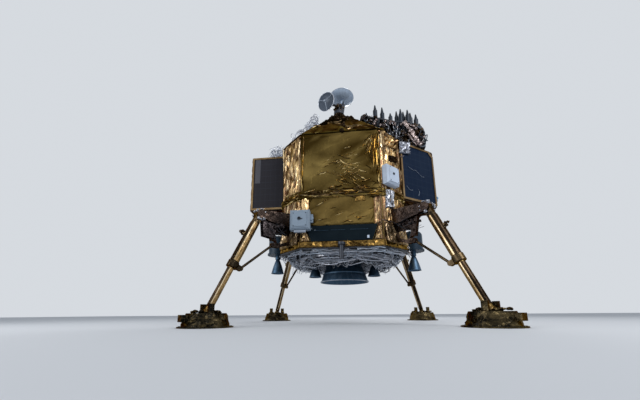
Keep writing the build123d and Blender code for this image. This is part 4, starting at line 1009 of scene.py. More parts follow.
def roof_slope(angle):
    """The way that the front or back face of the roof looks."""
    return (outward(angle) * (ROOF_TOP - EAVE) + UP * (WALL_REACH - ROOF_TOP_REACH)).normalized()


# Creases of painted shade over the front and back of the roof, and hips with painted highlight on both sides
# of them
creases = foil_mesh()
hips = foil_mesh()
dice = random.Random(37)
for angle in FRONT_BACK:
    for count in range(12):
        height = dice.triangular(5.12, 6.2, 5.3)
        room = 0.82 * roof_reach(height) * WALL_FLAT / WALL_REACH
        across, length = dice.uniform(-room, room), dice.uniform(0.15, 0.45)
        far_height = height + dice.uniform(-0.10, 0.22)
        far_across = across + length * dice.choice((-1, 1))
        pleat(creases, wall_point(angle, roof_reach(height) + 0.03, across, height),
              wall_point(angle, roof_reach(far_height) + 0.03, far_across, far_height),
              roof_slope(angle), 0.034, 0.012, dice)
finish_piece("roof_creases", creases, "gold_foil", finish=SHADOW_FINISH)
for angle in FRONT_BACK:
    for hand in (-1, 1):
        for low, high in ((5.12, 5.52), (5.45, 5.86)):
            ends = [wall_point(angle, roof_reach(height) + 0.012, hand * roof_reach(height) * 0.622, height)
                    for height in (low, high)]
            pleat(hips, *ends, roof_slope(angle), 0.036, 0.014, dice)
finish_piece("roof_hips", hips, "gold_foil", finish=FOLD_HIGHLIGHT_FINISH)

# Dark bunched foil round the mast's foot, and a tongue of it down the front and back of the roof
MAST_X = -0.05
MAST_WRAP_FOOT, MAST_WRAP_HEAD = 6.562, 6.80
MAST_WRAP_FOOT_RADIUS, MAST_WRAP_HEAD_RADIUS = 0.312, 0.165
knots = foil_mesh()
dice = random.Random(7)
for count in range(120):
    angle = dice.choice((0, 0, 0, 180, 180, 45, 315, 90, 270, 135, 225))
    height = dice.triangular(5.50, 6.58, 6.5) if angle in FRONT_BACK else dice.uniform(6.36, 6.58)
    reach = roof_reach(height)
    half = 0.06 + 0.17 * (height - 5.4) if angle in FRONT_BACK else reach * 0.25
    near = reach if angle % 90 == 0 else reach * 1.14
    spot = wall_point(angle, near + 0.01, dice.uniform(-half, half) + 0.06, height)
    crumpled_ball(knots, spot, dice.uniform(0.035, 0.075), 100 + count, 0.8)
for count in range(80):
    turn = dice.uniform(0, 2 * math.pi)
    height = dice.uniform(6.56, 6.86)
    spot = round_point(MAST_X, turn, 0.30 - 0.62 * (height - ROOF_TOP) + dice.uniform(-0.02, 0.05), height)
    crumpled_ball(knots, spot, dice.uniform(0.035, 0.06), 300 + count, 0.8)
for count in range(22):
    height = dice.uniform(5.06, 5.62)
    across = 0.08 + dice.uniform(-0.09, 0.09) * (height - 4.7)
    spot = wall_point(0, roof_reach(height) + 0.02, across, height)
    crumpled_ball(knots, spot, dice.uniform(0.03, 0.055), 420 + count, 0.7)
wrapped_tube(knots, Vector((MAST_X, 0, MAST_WRAP_FOOT)), Vector((MAST_X, 0, MAST_WRAP_HEAD)),
             MAST_WRAP_FOOT_RADIUS, MAST_WRAP_HEAD_RADIUS, 9, 5, 22, 0.02, facing=Vector((1, 0, 0)))
finish_piece("roof_knots", knots, "dark_foil", finish=KNOT_FINISH)

# Foil over the tops, feet and outer edges of the side bays
BAYS = ((-1, LEFT_BAY_HALF, LEFT_BAY_HALF), (1, BAY_HALF_INNER, BAY_HALF_OUTER))
bays = foil_mesh()
for hand, half_inner, half_outer in BAYS:
    near, far = WALL_REACH * hand, BAY_REACH * hand
    ring = [Vector((near, -half_inner * hand, 0)), Vector((far, -half_outer * hand, 0)),
            Vector((far, half_outer * hand, 0)), Vector((near, half_inner * hand, 0))]
    foot = [point + UP * ABOVE_BELT for point in ring]
    head = [point + UP * EAVE for point in ring]
    for number, face in enumerate((head, foot[::-1], foot[1:3] + head[2:0:-1])):
        crumpled(bays, face, 0.016, 0.018, 0.07, 300 + number + hand, run=1.4, hem=0.03)
finish_piece("bay_foil", bays, "dark_foil", finish=ARM_FINISH)


# Legs: foil on the struts with a dark band of painted reflection and strips of painted highlight over it,
# and foil on the footpads
STRUT_TOP_SHARE = 0.105
STRUT_END_SHARE = 0.955
PAD_WRAP_FOOT, PAD_WRAP_HEAD = 0.03, 0.282
# Way and width of the dark band of painted reflection, then those of the strips of painted highlight
LEFT_PAINTED_BANDS = (-0.5, 74, ((0.30, 17), (-1.9, 14)))
RIGHT_PAINTED_BANDS = (0.12, 104, ((-0.98, 13), (1.5, 14)))
struts, dark_band, shine, pads = (foil_mesh() for piece in range(4))
for index, angle in enumerate(CORNERS):
    hinge = leg_point(angle, HINGE.x, HINGE.y)
    ankle = leg_point(angle, ANKLE.x, ANKLE.y)
    band_way, band_width, shines = LEFT_PAINTED_BANDS if hinge.x < 0 else RIGHT_PAINTED_BANDS
    for near, far, radius, rings in (
        (STRUT_TOP_SHARE, CYLINDER_SHARE - 0.062, CYLINDER_RADIUS + 0.005, 8),
        (CYLINDER_SHARE + 0.012, STRUT_END_SHARE, PISTON_RADIUS + 0.005, 7),
    ):
        start, end = hinge.lerp(ankle, near), hinge.lerp(ankle, far)
        band_radius, shone = radius + 0.004, radius + 0.007
        wrapped_tube(struts, start, end, radius, radius, 40 + index, rings, 14, 0.0022)
        for face in (-1, 1):
            wrapped_tube(dark_band, start, end, band_radius, band_radius, 60 + index, rings, 5, 0.0012,
                         facing=Vector((band_way, face, 0)), span_of=band_width)
            for shine_way, shine_width in shines:
                wrapped_tube(shine, start, end, shone, shone, 70 + index, rings, 3, 0.0010,
                             facing=Vector((shine_way, face, 0)), span_of=shine_width)
    centre = leg_point(angle, ANKLE.x, 0)
    wrapped_tube(pads, centre + UP * PAD_WRAP_FOOT, centre + UP * PAD_WRAP_HEAD, DRUM_FOOT_RADIUS + 0.008,
                 DRUM_HEAD_RADIUS + 0.006, 80 + index, 5, 34, 0.016, facing=Vector((1, 0, 0)))
    dice = random.Random(90 + index)
    for count in range(15):
        turn, reach = math.radians(dice.uniform(0, 360)), dice.uniform(0.18, 0.33)
        spot = centre + round_point(0, turn, reach, dice.uniform(0.30, 0.335))
        crumpled_ball(pads, spot, dice.uniform(0.035, 0.06), 500 + count + 20 * index, 0.6)
finish_piece("strut_foil", struts, "amber_foil", finish=STRUT_FINISH)
finish_piece("strut_dark_reflection", dark_band, "dark_foil", finish=DARK_REFLECTION_FINISH)
finish_piece("strut_shine", shine, "amber_foil", finish=SHINE_FINISH)
finish_piece("pad_wraps", pads, "pad_foil")

# Bunched foil and wires in the arms' open webs, dark sheets of painted shade across the webs, hanging
# sheets, and bright scraps at the hinges
LUG = HINGE.lerp(ANKLE, 0.2436) + Vector((0.907, 0.420)) * 0.165
WEB = ((2.02, 2.28), (2.44, 2.25), (2.44, 2.58), (2.02, 2.55))
CURTAIN = ((2.44, 2.12), (2.76, 2.16), (2.80, 2.58), (2.40, 2.52))


def arm_point(angle, distance, height, aside):
    return leg_point(angle, distance, height) + UP.cross(outward(angle)) * aside


def arm_sheets(mesh, angle, places, aside, lift, relief, fold, seed, run):
    """A sheet of foil on each side of an arm, its corners given outwards and up."""
    for face in (-1, 1):
        corners = [arm_point(angle, *place, face * aside) for place in places]
        crumpled(mesh, corners[::face], lift, relief, fold, seed + face, run=run, hem=0.02)


clutter, scraps, curtains, boots, web_shade_sheets = (foil_mesh() for piece in range(5))
arm_wires = []
dice = random.Random(23)
for index, angle in enumerate(CORNERS):
    side = UP.cross(outward(angle))
    for count in range(16):
        distance, height = dice.uniform(2.02, 2.62), dice.uniform(2.37, 2.54)
        height -= max(0.0, 0.10 * (2.3 - distance))
        spot = arm_point(angle, distance, height, dice.uniform(-0.13, 0.13))
        crumpled_ball(clutter, spot, dice.uniform(0.03, 0.065), 1100 + count + 40 * index, 0.9)
    for count in range(10):
        first = arm_point(angle, dice.uniform(1.98, 2.3), dice.uniform(2.1, 2.5), dice.uniform(-0.2, 0.2))
        last = arm_point(angle, dice.uniform(2.3, 2.78), dice.uniform(2.15, 2.7), dice.uniform(-0.14, 0.14))
        middle = first.lerp(last, 0.5) + UP * dice.uniform(-0.14, 0.02) + side * dice.uniform(-0.08, 0.08)
        arm_wires.append([first, middle, last])
    for count in range(20):
        turn = dice.uniform(0, 2 * math.pi)
        spot = arm_point(angle, HINGE.x + math.cos(turn) * 0.13, HINGE.y + math.sin(turn) * 0.13,
                         dice.choice((-0.10, 0.10)))
        crumpled_ball(scraps, spot, dice.uniform(0.024, 0.050), 1300 + count, 0.9)
    for count in range(6):
        spot = arm_point(angle, LUG.x + dice.uniform(-0.04, 0.04), LUG.y + dice.uniform(-0.04, 0.04),
                         dice.uniform(-0.03, 0.03))
        crumpled_ball(boots, spot, 0.036, 1350 + count, 0.9)
    # Dark sheets across each web: painted shade
    arm_sheets(web_shade_sheets, angle, WEB, 0.030, 0.012, 0.020, 0.06, 1450 + index, 1.4)
    if angle > 180:
        arm_sheets(curtains, angle, CURTAIN, 0.075, 0.010, 0.018, 0.05, 1400 + index, 2.0)
tubes("arm_wires", arm_wires, 0.005, "deck_metal", step=0.05, sides=4)
finish_piece("arm_clutter", clutter, "dark_foil", finish=CURTAIN_FINISH)
finish_piece("lug_boots", boots, "dark_foil", finish=KNOT_FINISH)
finish_piece("arm_web_shade", web_shade_sheets, "dark_foil", finish=ARM_FINISH)
finish_piece("hinge_scraps", scraps, "dish_grey", finish=SILVER_FINISH)
finish_piece("arm_curtains", curtains, "dark_foil", finish=CURTAIN_FINISH)


# Wiring and pipes

DECK_RIM = 1.60
DECK_EYE = 0.86


def deck_path(dice, reach, turn, height, way, length, wander, sag):
    """A loose run under the deck; way 0 follows the rim and 90 points outwards."""
    spot = outward(turn) * reach + UP * height
    heading = math.radians(turn + way)
    points = []
    steps = max(3, int(length / 0.16))
    for step in range(steps + 1):
        share = step / steps
        bend = math.sin(math.pi * share)
        points.append(spot + UP * (dice.uniform(-wander, wander) - sag * bend)
                      + Vector((dice.uniform(-wander, wander), dice.uniform(-wander, wander), 0)))
        if way == 0:
            heading = math.atan2(spot.x, -spot.y) + dice.uniform(-0.30, 0.30)
        along = Vector((math.cos(heading), math.sin(heading), 0)) * (length / steps)
        ahead = spot + along
        if math.hypot(ahead.x, ahead.y) > DECK_RIM or math.hypot(ahead.x, ahead.y) < DECK_EYE:
            ahead = spot - along * 0.4
            heading += math.pi * dice.uniform(0.6, 1.2)
        spot = ahead
    return points


dice = random.Random(11)
for name, count, radius, wander, straight, slot_name in (
    ("deck_pipes", 54, 0.013, 0.020, 0.7, "pipe_steel"),
    ("deck_cables", 96, 0.008, 0.045, 0.4, "pipe_steel"),
    ("deck_grey_cables", 70, 0.009, 0.045, 0.4, "dish_grey"),
    ("deck_dark_cables", 60, 0.013, 0.035, 0.5, "thruster_dark"),
):
    paths = []
    for index in range(count):
        reach = dice.uniform(0.95, 1.56)
        height = dice.uniform(1.58, 1.80) if reach < 1.45 else dice.uniform(1.66, 1.81)
        way = 0 if dice.random() < straight else dice.uniform(20, 160)
        length = dice.uniform(0.5, 1.4) if way == 0 else dice.uniform(0.25, 0.6)
        paths.append(deck_path(dice, reach, dice.uniform(0, 360), height, way, length, wander,
                               dice.uniform(0.0, 0.08)))
    tubes(name, paths, radius, slot_name, step=0.045)

edge_runs = []
for angle, distance, half in OCTAGON:
    for count in range(round(half * 30)):
        near = distance - dice.uniform(0.0, 0.26)
        across = dice.uniform(-half, half * 0.5)
        length = min(half - across, dice.uniform(0.3, 0.9))
        height = dice.uniform(1.74, 1.84)
        edge_runs.append([wall_point(angle, near + dice.uniform(-0.02, 0.02), across + length * step / 5,
                                     height + dice.uniform(-0.025, 0.015)) for step in range(6)])
tubes("deck_edge_cables", edge_runs[::2], 0.009, "pipe_steel", step=0.05)
tubes("deck_edge_grey_cables", edge_runs[1::2], 0.013, "dish_grey", step=0.05)

# Loose ends and clamps that hold the bundles
loose = []
for index in range(150):
    turn = dice.uniform(0, 360)
    reach = dice.uniform(0.92, DECK_RIM)
    start = outward(turn) * reach + UP * dice.uniform(1.66, 1.80)
    swing = outward(turn + dice.uniform(-14, 14)) * (reach + dice.uniform(-0.10, 0.10))
    low = swing + UP * dice.uniform(1.44, 1.64)
    end = outward(turn + dice.uniform(-22, 22)) * (reach + dice.uniform(-0.2, 0.1)) + UP * 1.78
    loose.append([start, start.lerp(low, 0.6) + UP * 0.02, low, low.lerp(end, 0.5), end])
tubes("deck_loose_wires", loose, 0.0055, "pipe_steel", step=0.035, sides=4)
CLAMP_COUNT = 26
CLAMP_REACH = 0.98
clamps = []
for index in range(CLAMP_COUNT):
    turn = index * 360 / CLAMP_COUNT + dice.uniform(-4, 4)
    inner, outer = outward(turn) * CLAMP_REACH, outward(turn + dice.uniform(-2, 2)) * DECK_RIM
    clamps.append([inner + UP * 1.80, inner + UP * 1.66, outer.lerp(inner, 0.5) + UP * 1.62,
                   outer + UP * 1.70, outer + UP * 1.82])
tubes("deck_clamps", clamps, 0.011, "dish_grey", step=0.05)

drops = []
for side in (-1, 1):
    for index in range(9):
        top_at = Vector((side * dice.uniform(1.60, 1.85), dice.uniform(-0.5, 0.5), dice.uniform(1.95, 2.55)))
        mid = Vector((side * dice.uniform(1.78, 1.95), dice.uniform(-0.35, 0.35), dice.uniform(1.80, 2.1)))
        end = Vector((side * (POD_X - dice.uniform(0.05, 0.25)), dice.uniform(-0.2, 0.2), POD_FOOT - 0.03))
        drops.append([top_at, mid, end])
tubes("pod_pipes", drops, 0.011, "pipe_steel")

# Silvery loops and wires on the left of the roof
LOOP_STEPS = 9
LOOP_PITCH = 0.036
coils = []
strands = []
for index in range(130):
    x = LOOPS_START + (LOOPS_END - LOOPS_START) * dice.random() ** 1.2
    most = 0.34 if abs(x) < WALL_REACH else 0.20
    centre = Vector((x, dice.uniform(-0.80, -0.10), roof_height(x, 0.03) + dice.uniform(0.04, most)))
    turns = dice.choice((0.8, 1.2, 2.2))
    radius = dice.uniform(0.05, 0.13)
    lean = Matrix.Rotation(dice.uniform(0, 6.28), 3, "Z") @ Matrix.Rotation(dice.uniform(0.9, 2.2), 3, "X")
    loop = []
    for step in range(int(turns * LOOP_STEPS) + 1):
        turn = step / LOOP_STEPS * 2 * math.pi
        loop.append(centre + lean @ round_point(0, turn, radius, LOOP_PITCH * step / LOOP_STEPS))
    coils.append(loop)
    foot = centre + Vector((dice.uniform(-0.12, 0.12), dice.uniform(-0.1, 0.1), 0))
    foot.z = roof_height(foot.x)
    strands.append([foot, foot.lerp(centre, 0.5) + Vector((0.03, 0, 0.04)), centre])
tubes("roof_coils", coils, 0.007, "pipe_steel", step=0.03, sides=4)
tubes("roof_strands", strands, 0.005, "dish_grey", step=0.04, sides=4)


# Harness, knots and foil on the thruster rack
def rack_height(x):
    """Height of the rack's top line, and beyond its ends that of the ends."""
    x = min(RACK_LINE[-1][0], max(RACK_LINE[0][0], x))
    for (near, high), (far, low) in zip(RACK_LINE, RACK_LINE[1:]):
        if x <= far:
            return EAVE + high + (low - high) * (x - near) / (far - near)


harness = []
for index in range(120):
    x = dice.uniform(0.72, 2.50)
    high = rack_height(x)
    low = min(high - 0.05, roof_height(x) + 0.03)
    harness.append([Vector((
        min(2.58, max(0.65, x + dice.uniform(-0.16, 0.16))),
        dice.uniform(RACK_FRONT - 0.05, RACK_BACK + 0.08),
        low + (high + 0.02 - low) * dice.uniform(0.05, 1.0),
    )) for step in range(4)])
tubes("rack_harness", harness[:75], 0.014, "thruster_dark")
tubes("rack_wires", harness[75:], 0.006, "pipe_steel", sides=4)

bunches = foil_mesh()
shadows = foil_mesh()
for index in range(230):
    x = dice.uniform(0.70, 2.50)
    high = rack_height(x) + 0.04
    low = roof_height(x)
    spot = Vector((x, dice.uniform(RACK_FRONT, RACK_BACK), low + (high - low) * dice.uniform(0.0, 0.95)))
    crumpled_ball(shadows if index % 3 else bunches, spot, dice.uniform(0.04, 0.085), 700 + index)
finish_piece("rack_knots", bunches, "dark_foil", finish=CURTAIN_FINISH)
finish_piece("rack_shadow_knots", shadows, "dark_foil", finish=KNOT_FINISH)
pale = foil_mesh()
for index in range(26):
    t = index / 25
    spot = Vector((1.95 + 0.38 * t, -0.68 - 0.05 * t, 5.92 - 0.80 * t))
    spot += Vector((dice.uniform(-0.03, 0.03), 0, 0))
    crumpled_ball(pale, spot, dice.uniform(0.045, 0.07), 900 + index)
for index in range(22):
    x = dice.uniform(0.9, 2.3)
    spot = Vector((x, RACK_FRONT - 0.03, rack_height(x) - dice.uniform(0.08, 0.35)))
    crumpled_ball(pale, spot, dice.uniform(0.03, 0.05), 940 + index)
finish_piece("rack_foil", pale, "dish_grey", finish=SCRAP_FINISH)


# Rims and ribs of the two dishes, and a dark shell of painted shade inside the second one
RIM_LIFT = 0.007
RIB_SINK = 0.003
BOWL_SHADE_BACK = 0.0155
BOWL_SHADE_FACE = 0.0185


def ways_round(level, other, count):
    """Directions evenly round a circle, from two that are square to each other."""
    return [level * math.cos(turn) + other * math.sin(turn) for turn in turns_of(count)]


def square_ways(axis, count):
    """Directions evenly round an axis, the first of them level."""
    level = axis.cross(UP).normalized()
    return ways_round(level, level.cross(axis), count)


def closed_rows(mesh, rows):
    """Faces from each ring of points to the next, closed at both ends."""
    for first, second in zip(rows, rows[1:]):
        for a in range(len(first)):
            b = (a + 1) % len(first)
            mesh.faces.new((first[a], first[b], second[b], second[a]))
    mesh.faces.new(rows[0][::-1])
    mesh.faces.new(rows[-1])


MAIN_AXIS = Vector((0.06959, 0.12053, 0.99027))
MAIN_BACK = Vector((0.035, 0.14722, 7.41)) + MAIN_AXIS * 0.150
SECOND_AXIS = Vector((-0.45921, -0.86367, -0.20791))
SECOND_BACK = Vector((-0.410, -0.120, 7.305))
SECOND_RADIUS = 0.310
SECOND_DEPTH = 0.120
for name, back, axis, radius, depth, body in (
    ("main_dish", MAIN_BACK, MAIN_AXIS, 0.410, 0.165, "antenna_dish_body"),
    ("second_dish", SECOND_BACK, SECOND_AXIS, SECOND_RADIUS, SECOND_DEPTH, "antenna_head"),
):
    rim = [back + axis * (depth + RIM_LIFT) + way * radius for way in square_ways(axis, 40)]
    ribs = [[back + axis * (depth * share * share - RIB_SINK) + way * radius * share
             for share in (0.14, 0.35, 0.55, 0.75, 0.95)] for way in square_ways(axis, 10)]
    tubes(name + "_rim", [rim], 0.010, "pipe_steel", body, step=0.03, sides=6, closed=True)
    tubes(name + "_ribs", ribs, 0.007, "dish_grey", body, step=0.05, sides=4)

# A dark shell just inside the second dish's bowl: painted shade
bowl_shade = bmesh.new()
rows = []
shares = [0.05 + 0.90 * step / 5 for step in range(6)]
for lift, run in ((BOWL_SHADE_BACK, shares), (BOWL_SHADE_FACE, shares[::-1])):
    for share in run:
        middle = SECOND_BACK + SECOND_AXIS * (lift + SECOND_DEPTH * share * share)
        rows.append([bowl_shade.verts.new(middle + way * SECOND_RADIUS * share)
                     for way in square_ways(SECOND_AXIS, 40)])
closed_rows(bowl_shade, rows)
finish_piece("second_dish_shade", bowl_shade, "dish_grey", "antenna_head", finish=BOWL_SHADE_FINISH)


# Lids, ports and fittings of the white boxes, and small plates
def plate(mesh, angle, centre, width, height, thick, bevel=0.008):
    """A plate with bevelled edges that looks the way of a wall, its back on the centre."""
    out = outward(angle)
    along = UP.cross(out).normalized()
    block = bmesh.ops.create_cube(mesh, size=1.0)["verts"]
    for vert in block:
        x, y, z = vert.co
        vert.co = centre + along * x * width + UP * y * height + out * (z + 0.5) * thick
    edges = list(dict.fromkeys(edge for vert in block for edge in vert.link_edges))
    bmesh.ops.bevel(mesh, geom=edges, offset=bevel, segments=2, affect="EDGES", profile=0.6)


def turned(mesh, angle, centre, rings):
    """A turned fitting: rings of radius and height outwards, closed at both ends."""
    out = outward(angle)
    level = out.cross(Vector((0.3, 0.4, 0.87))).normalized()
    ways = ways_round(level, out.cross(level), 20)
    closed_rows(mesh, [[mesh.verts.new(centre + out * height + way * radius) for way in ways]
                       for radius, height in rings])


RIGHT_FACE = CORNER_REACH + 0.19
LEFT_FACE = WALL_REACH + 0.04 + 0.21
RIGHT_LID = (-0.17, 3.75)
LEFT_LID = (-1.02, 2.555)
RIGHT_LID_THICK = 0.012
LEFT_LID_THICK = 0.014
KNOB_RINGS = ((0.055, 0.0), (0.05, 0.02), (0.0, 0.026))
RIGHT_PORT_RINGS = ((0.034, 0.0), (0.034, 0.012), (0.022, 0.012), (0.020, 0.004), (0.0, 0.003))
LEFT_PORT_RINGS = ((0.042, 0.0), (0.041, 0.012), (0.026, 0.014), (0.022, 0.004), (0.0, 0.002))
lids = bmesh.new()
plate(lids, 45, wall_point(45, RIGHT_FACE, *RIGHT_LID), 0.385, 0.425, RIGHT_LID_THICK)
plate(lids, 0, wall_point(0, LEFT_FACE, *LEFT_LID), 0.36, 0.37, LEFT_LID_THICK)
plate(lids, 0, wall_point(0, LEFT_FACE - 0.16, -0.745, 2.60), 0.10, 0.22, 0.05, 0.015)
turned(lids, 0, wall_point(0, LEFT_FACE - 0.11, -0.735, 2.60), KNOB_RINGS)
plate(lids, 0, wall_point(0, WALL_REACH + 0.06, 0.655, 2.10), 0.055, 0.07, 0.012, 0.004)
finish_piece("box_lids", lids, "white_paint")
ports = bmesh.new()
turned(ports, 45, wall_point(45, RIGHT_FACE + RIGHT_LID_THICK, -0.20, 3.765), RIGHT_PORT_RINGS)
turned(ports, 0, wall_point(0, LEFT_FACE + LEFT_LID_THICK, -1.03, 2.575), LEFT_PORT_RINGS)
plate(ports, 0, wall_point(0, LEFT_FACE + LEFT_LID_THICK, -0.975, 2.56), 0.06, 0.018, 0.010, 0.003)
plate(ports, 0, wall_point(0, WALL_REACH + 0.11, 0.0, 1.915), 0.17, 0.085, 0.03, 0.012)
finish_piece("box_ports", ports, "thruster_dark")
glass = bmesh.new()
plate(glass, 0, wall_point(0, LEFT_FACE - 0.13, -1.02, 2.262), 0.30, 0.06, 0.09, 0.018)
finish_piece("box_glass", glass, "dish_grey")


# Bright scraps of foil tied over the corner wall, the panel and the bay, and a dark patch of painted shade
# under the corner's bulge
def on_corner(*places):
    """Points on the front right corner wall, given across and up."""
    return [wall_point(45, CORNER_REACH, across, height) for across, height in places]


BAY_SCRAP = [Vector(spot) for spot in ((1.66, -1.12, 4.66), (2.00, -0.89, 4.73), (2.02, -0.88, 5.12),
                                       (1.68, -1.10, 5.05))]
patches = foil_mesh()
crumpled(patches, on_corner((-0.36, 2.86), (-0.04, 2.90), (-0.01, 3.42), (-0.33, 3.38)),
         0.055, 0.035, 0.045, 1501, run=1.6, hem=0.03)
crumpled(patches, BAY_SCRAP, 0.03, 0.03, 0.045, 1502, run=1.0, hem=0.03)
finish_piece("silver_patches", patches, "dish_grey", finish=SILVER_FINISH)
# A dark patch of painted shade where the corner wall recedes under the bulge
under_bulge_shade = foil_mesh()
crumpled(under_bulge_shade, on_corner((-0.16, 4.20), (0.24, 4.30), (0.25, 4.50), (-0.14, 4.42)),
         0.045, 0.02, 0.06, 1503, run=0.6, hem=0.03)
finish_piece("painted_recess_shade", under_bulge_shade, "dark_foil", finish=KNOT_FINISH)
bulge = foil_mesh()
crumpled(bulge, on_corner((-0.40, 4.56), (0.20, 4.66), (0.34, 5.00), (-0.38, 5.04)),
         0.075, 0.060, 0.062, 1506, run=1.5, lean=0.6, hem=0.04)
finish_piece("corner_bulge", bulge, "amber_foil", finish=CORNER_FINISH)
rods = foil_mesh()
for start, end, radius in (
    ((1.99, -0.85, 5.42), (2.24, -0.72, 5.10), 0.026),
    ((1.66, -1.16, 4.52), (1.78, -1.05, 4.60), 0.014),
    ((1.00, -1.80, 2.50), (1.47, -1.36, 2.52), 0.012),
):
    wrapped_tube(rods, Vector(start), Vector(end), radius, radius * 0.9, 1504, 8, 7, radius * 0.25)
finish_piece("foil_rods", rods, "dish_grey", finish=SCRAP_FINISH)

FLAP_ACROSS = 0.50
flap = foil_mesh()
wall_patch(flap, 0, WALL_REACH + 0.012, (-0.13, 0.13), (-0.12, 0.12), 3.05, 3.20, lift=0.016, relief=0.014,
           fold=0.05, seed=1505, hem=0.02)
bmesh.ops.translate(flap, verts=flap.verts[:], vec=(FLAP_ACROSS, 0, 0))
finish_piece("orange_flap", flap, "amber_foil", finish=SILL_FINISH)

# Lighter strip on the left front panel, and scratches on the right one
strip = bmesh.new()
plate(strip, 0, Vector((-2.585, -0.676, 4.60)), 0.17, 0.80, 0.008, 0.003)
finish_piece("panel_strip", strip, "radiator_black", finish=STRIP_FINISH)
BAY_NORMAL = Vector((0.577, -0.817, 0)).normalized()
PANEL_LIFT = 0.026
scratches = []
for line in (
    ((1.90, -0.90, 4.33), (2.05, -0.79, 4.27), (2.12, -0.74, 4.29), (2.24, -0.66, 4.20)),
    ((2.26, -0.64, 4.19), (2.34, -0.585, 4.14), (2.40, -0.54, 4.16)),
    ((1.80, -0.97, 3.72), (1.90, -0.90, 3.62), (2.00, -0.83, 3.64)),
    ((2.16, -0.71, 3.50), (2.20, -0.68, 3.62), (2.17, -0.70, 3.70)),
):
    scratches.append([Vector(spot) + BAY_NORMAL * PANEL_LIFT for spot in line])
tubes("panel_scratches", scratches, 0.0045, "dish_grey", step=0.04, sides=4)

# Thin seam lines across the radiators
RADIATOR_FACE = 1.752
lines = [[Vector((start, hand * RADIATOR_FACE, 2.30)), Vector((end, hand * RADIATOR_FACE, 2.297))]
         for hand in (-1, 1) for start, end in ((-0.70, -0.32), (-0.26, 0.10), (0.22, 0.66))]
tubes("radiator_lines", lines, 0.0035, "nozzle_metal", step=0.2, sides=4)

# Foil bunched round the antenna's post
dice = random.Random(41)
post = foil_mesh()
for count in range(46):
    turn, height = dice.uniform(0, 2 * math.pi), dice.uniform(6.93, 7.24)
    spot = round_point(MAST_X, turn, dice.uniform(0.09, 0.16), height)
    crumpled_ball(post, spot, dice.uniform(0.028, 0.05), 1600 + count, 0.9, detail=1)
finish_piece("post_knots", post, "dark_foil", "antenna_head", finish=KNOT_FINISH)

# Lip of the main nozzle in bright steel: a real rim whose brightness is a painted highlight
LIP_RADIUS = 0.716
LIP_HEIGHT = 1.172
lip = [round_point(0, turn, LIP_RADIUS, LIP_HEIGHT) for turn in turns_of(64)]
tubes("nozzle_lip_highlight", [lip], 0.007, "pipe_steel", step=0.05, sides=6, closed=True)

# Fasteners round the sill, the footpads and the pods' feet, and on both lids
SILL_BOLT_STEP = 0.13
PAD_BOLT_REACH = 0.51
PAD_BOLT_HEIGHT = 0.026
POD_BOLT_REACH = 0.302
bolts = []
for angle, distance, half in OCTAGON:
    count = max(3, round(2 * half / SILL_BOLT_STEP))
    for step in range(count):
        across = -half + 2 * half * (step + 0.5) / count
        bolts.append((wall_point(angle, distance + 0.012, across, DECK - 0.028), outward(angle)))
for angle in CORNERS:
    centre = leg_point(angle, ANKLE.x, 0)
    bolts += [(centre + round_point(0, turn, PAD_BOLT_REACH, PAD_BOLT_HEIGHT), UP) for turn in turns_of(28)]
for side in (-1, 1):
    bolts += [(round_point(side * POD_X, turn, POD_BOLT_REACH, POD_FOOT), -UP) for turn in turns_of(20)]
for angle, face, (at, height), tall in (
    (0, LEFT_FACE + LEFT_LID_THICK, LEFT_LID, 0.16),
    (45, RIGHT_FACE + RIGHT_LID_THICK, RIGHT_LID, 0.16 * 1.15),
):
    for across in (-0.155, 0.155):
        for up in (-tall, tall):
            bolts.append((wall_point(angle, face, at + across, height + up), outward(angle)))
studs("rim_bolts", bolts, 0.008, 0.010, "thruster_dark")


# Floor, light and camera

def plain_stage(name, corners, colour):
    data = bpy.data.meshes.new(name)
    data.from_pydata(corners, [], [list(range(len(corners)))])
    finish = bpy.data.materials.new(name)
    finish.use_nodes = True
    surface = finish.node_tree.nodes["Principled BSDF"]
    surface.inputs["Base Color"].default_value = (*colour, 1)
    surface.inputs["Roughness"].default_value = 0.8
    data.materials.append(finish)
    piece = bpy.data.objects.new(name, data)
    bpy.context.scene.collection.objects.link(piece)


FLOOR_HALF = 60
FLOOR_COLOUR = (0.62, 0.64, 0.67)
plain_stage("floor", [(x * FLOOR_HALF, y * FLOOR_HALF, 0) for x, y in ((-1, -1), (1, -1), (1, 1), (-1, 1))],
            FLOOR_COLOUR)

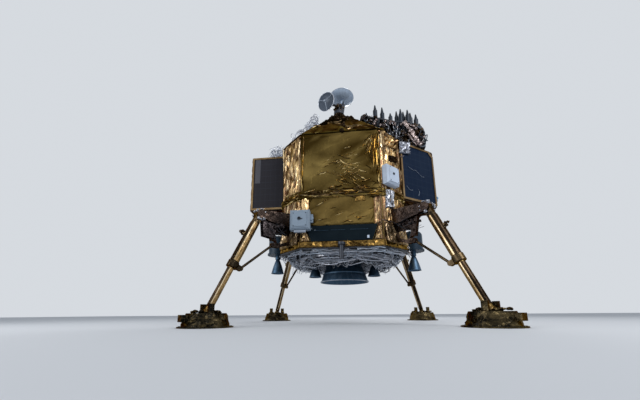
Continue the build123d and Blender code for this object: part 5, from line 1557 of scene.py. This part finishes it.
world = bpy.data.worlds.new("studio")
bpy.context.scene.world = world
world.use_nodes = True
sky = world.node_tree
sky.nodes.clear()
rays = sky.nodes.new("ShaderNodeLightPath")
clear = maths(sky, "MAXIMUM", rays.outputs["Is Camera Ray"], rays.outputs["Is Transmission Ray"])
seen = maths(sky, "MAXIMUM", clear, rays.outputs["Is Glossy Ray"])
lit = add(sky, "ShaderNodeBackground", {"Color": (0.80, 0.86, 0.94, 1), "Strength": 0.50})
shown = add(sky, "ShaderNodeBackground", {"Color": (0.84, 0.88, 0.93, 1), "Strength": 0.80})
both = add(sky, "ShaderNodeMixShader", {0: seen, 1: lit.outputs[0], 2: shown.outputs[0]})
out = sky.nodes.new("ShaderNodeOutputWorld")
sky.links.new(both.outputs[0], out.inputs[0])

LAMPS = (
    # name, place, aim, size, watts
    ("key", (8.0, -9.5, 10.5), (0, 0, 3.6), 6.0, 900),
    ("fill", (-10.5, -8.0, 5.5), (0, 0, 3.4), 7.0, 520),
    ("rim", (2.0, 11.0, 11.0), (0, 0, 4.5), 5.0, 700),
)
for name, place, aim, size, watts in LAMPS:
    lamp = bpy.data.lights.new(name, "AREA")
    lamp.size = size
    lamp.energy = watts
    holder = bpy.data.objects.new(name, lamp)
    holder.location = place
    holder.rotation_mode = "QUATERNION"
    holder.rotation_quaternion = (Vector(aim) - Vector(place)).to_track_quat("-Z", "Y")
    bpy.context.scene.collection.objects.link(holder)

# The camera of the photo, fitted to points of the lander
CAMERA_PLACE = (0.239, -8.574, 0.264)
CAMERA_AIM = Vector((-0.1101, 0.9708, 0.2130))
CAMERA_ROLL = -0.4
eye = bpy.data.cameras.new("camera")
eye.lens = 16.06
eye.shift_y = 0.0804
camera = bpy.data.objects.new("camera", eye)
camera.location = CAMERA_PLACE
camera.rotation_mode = "QUATERNION"
roll = Quaternion((0, 0, 1), math.radians(CAMERA_ROLL))
camera.rotation_quaternion = CAMERA_AIM.to_track_quat("-Z", "Y") @ roll
bpy.context.scene.collection.objects.link(camera)
bpy.context.scene.camera = camera
bpy.context.scene.view_settings.view_transform = "Standard"
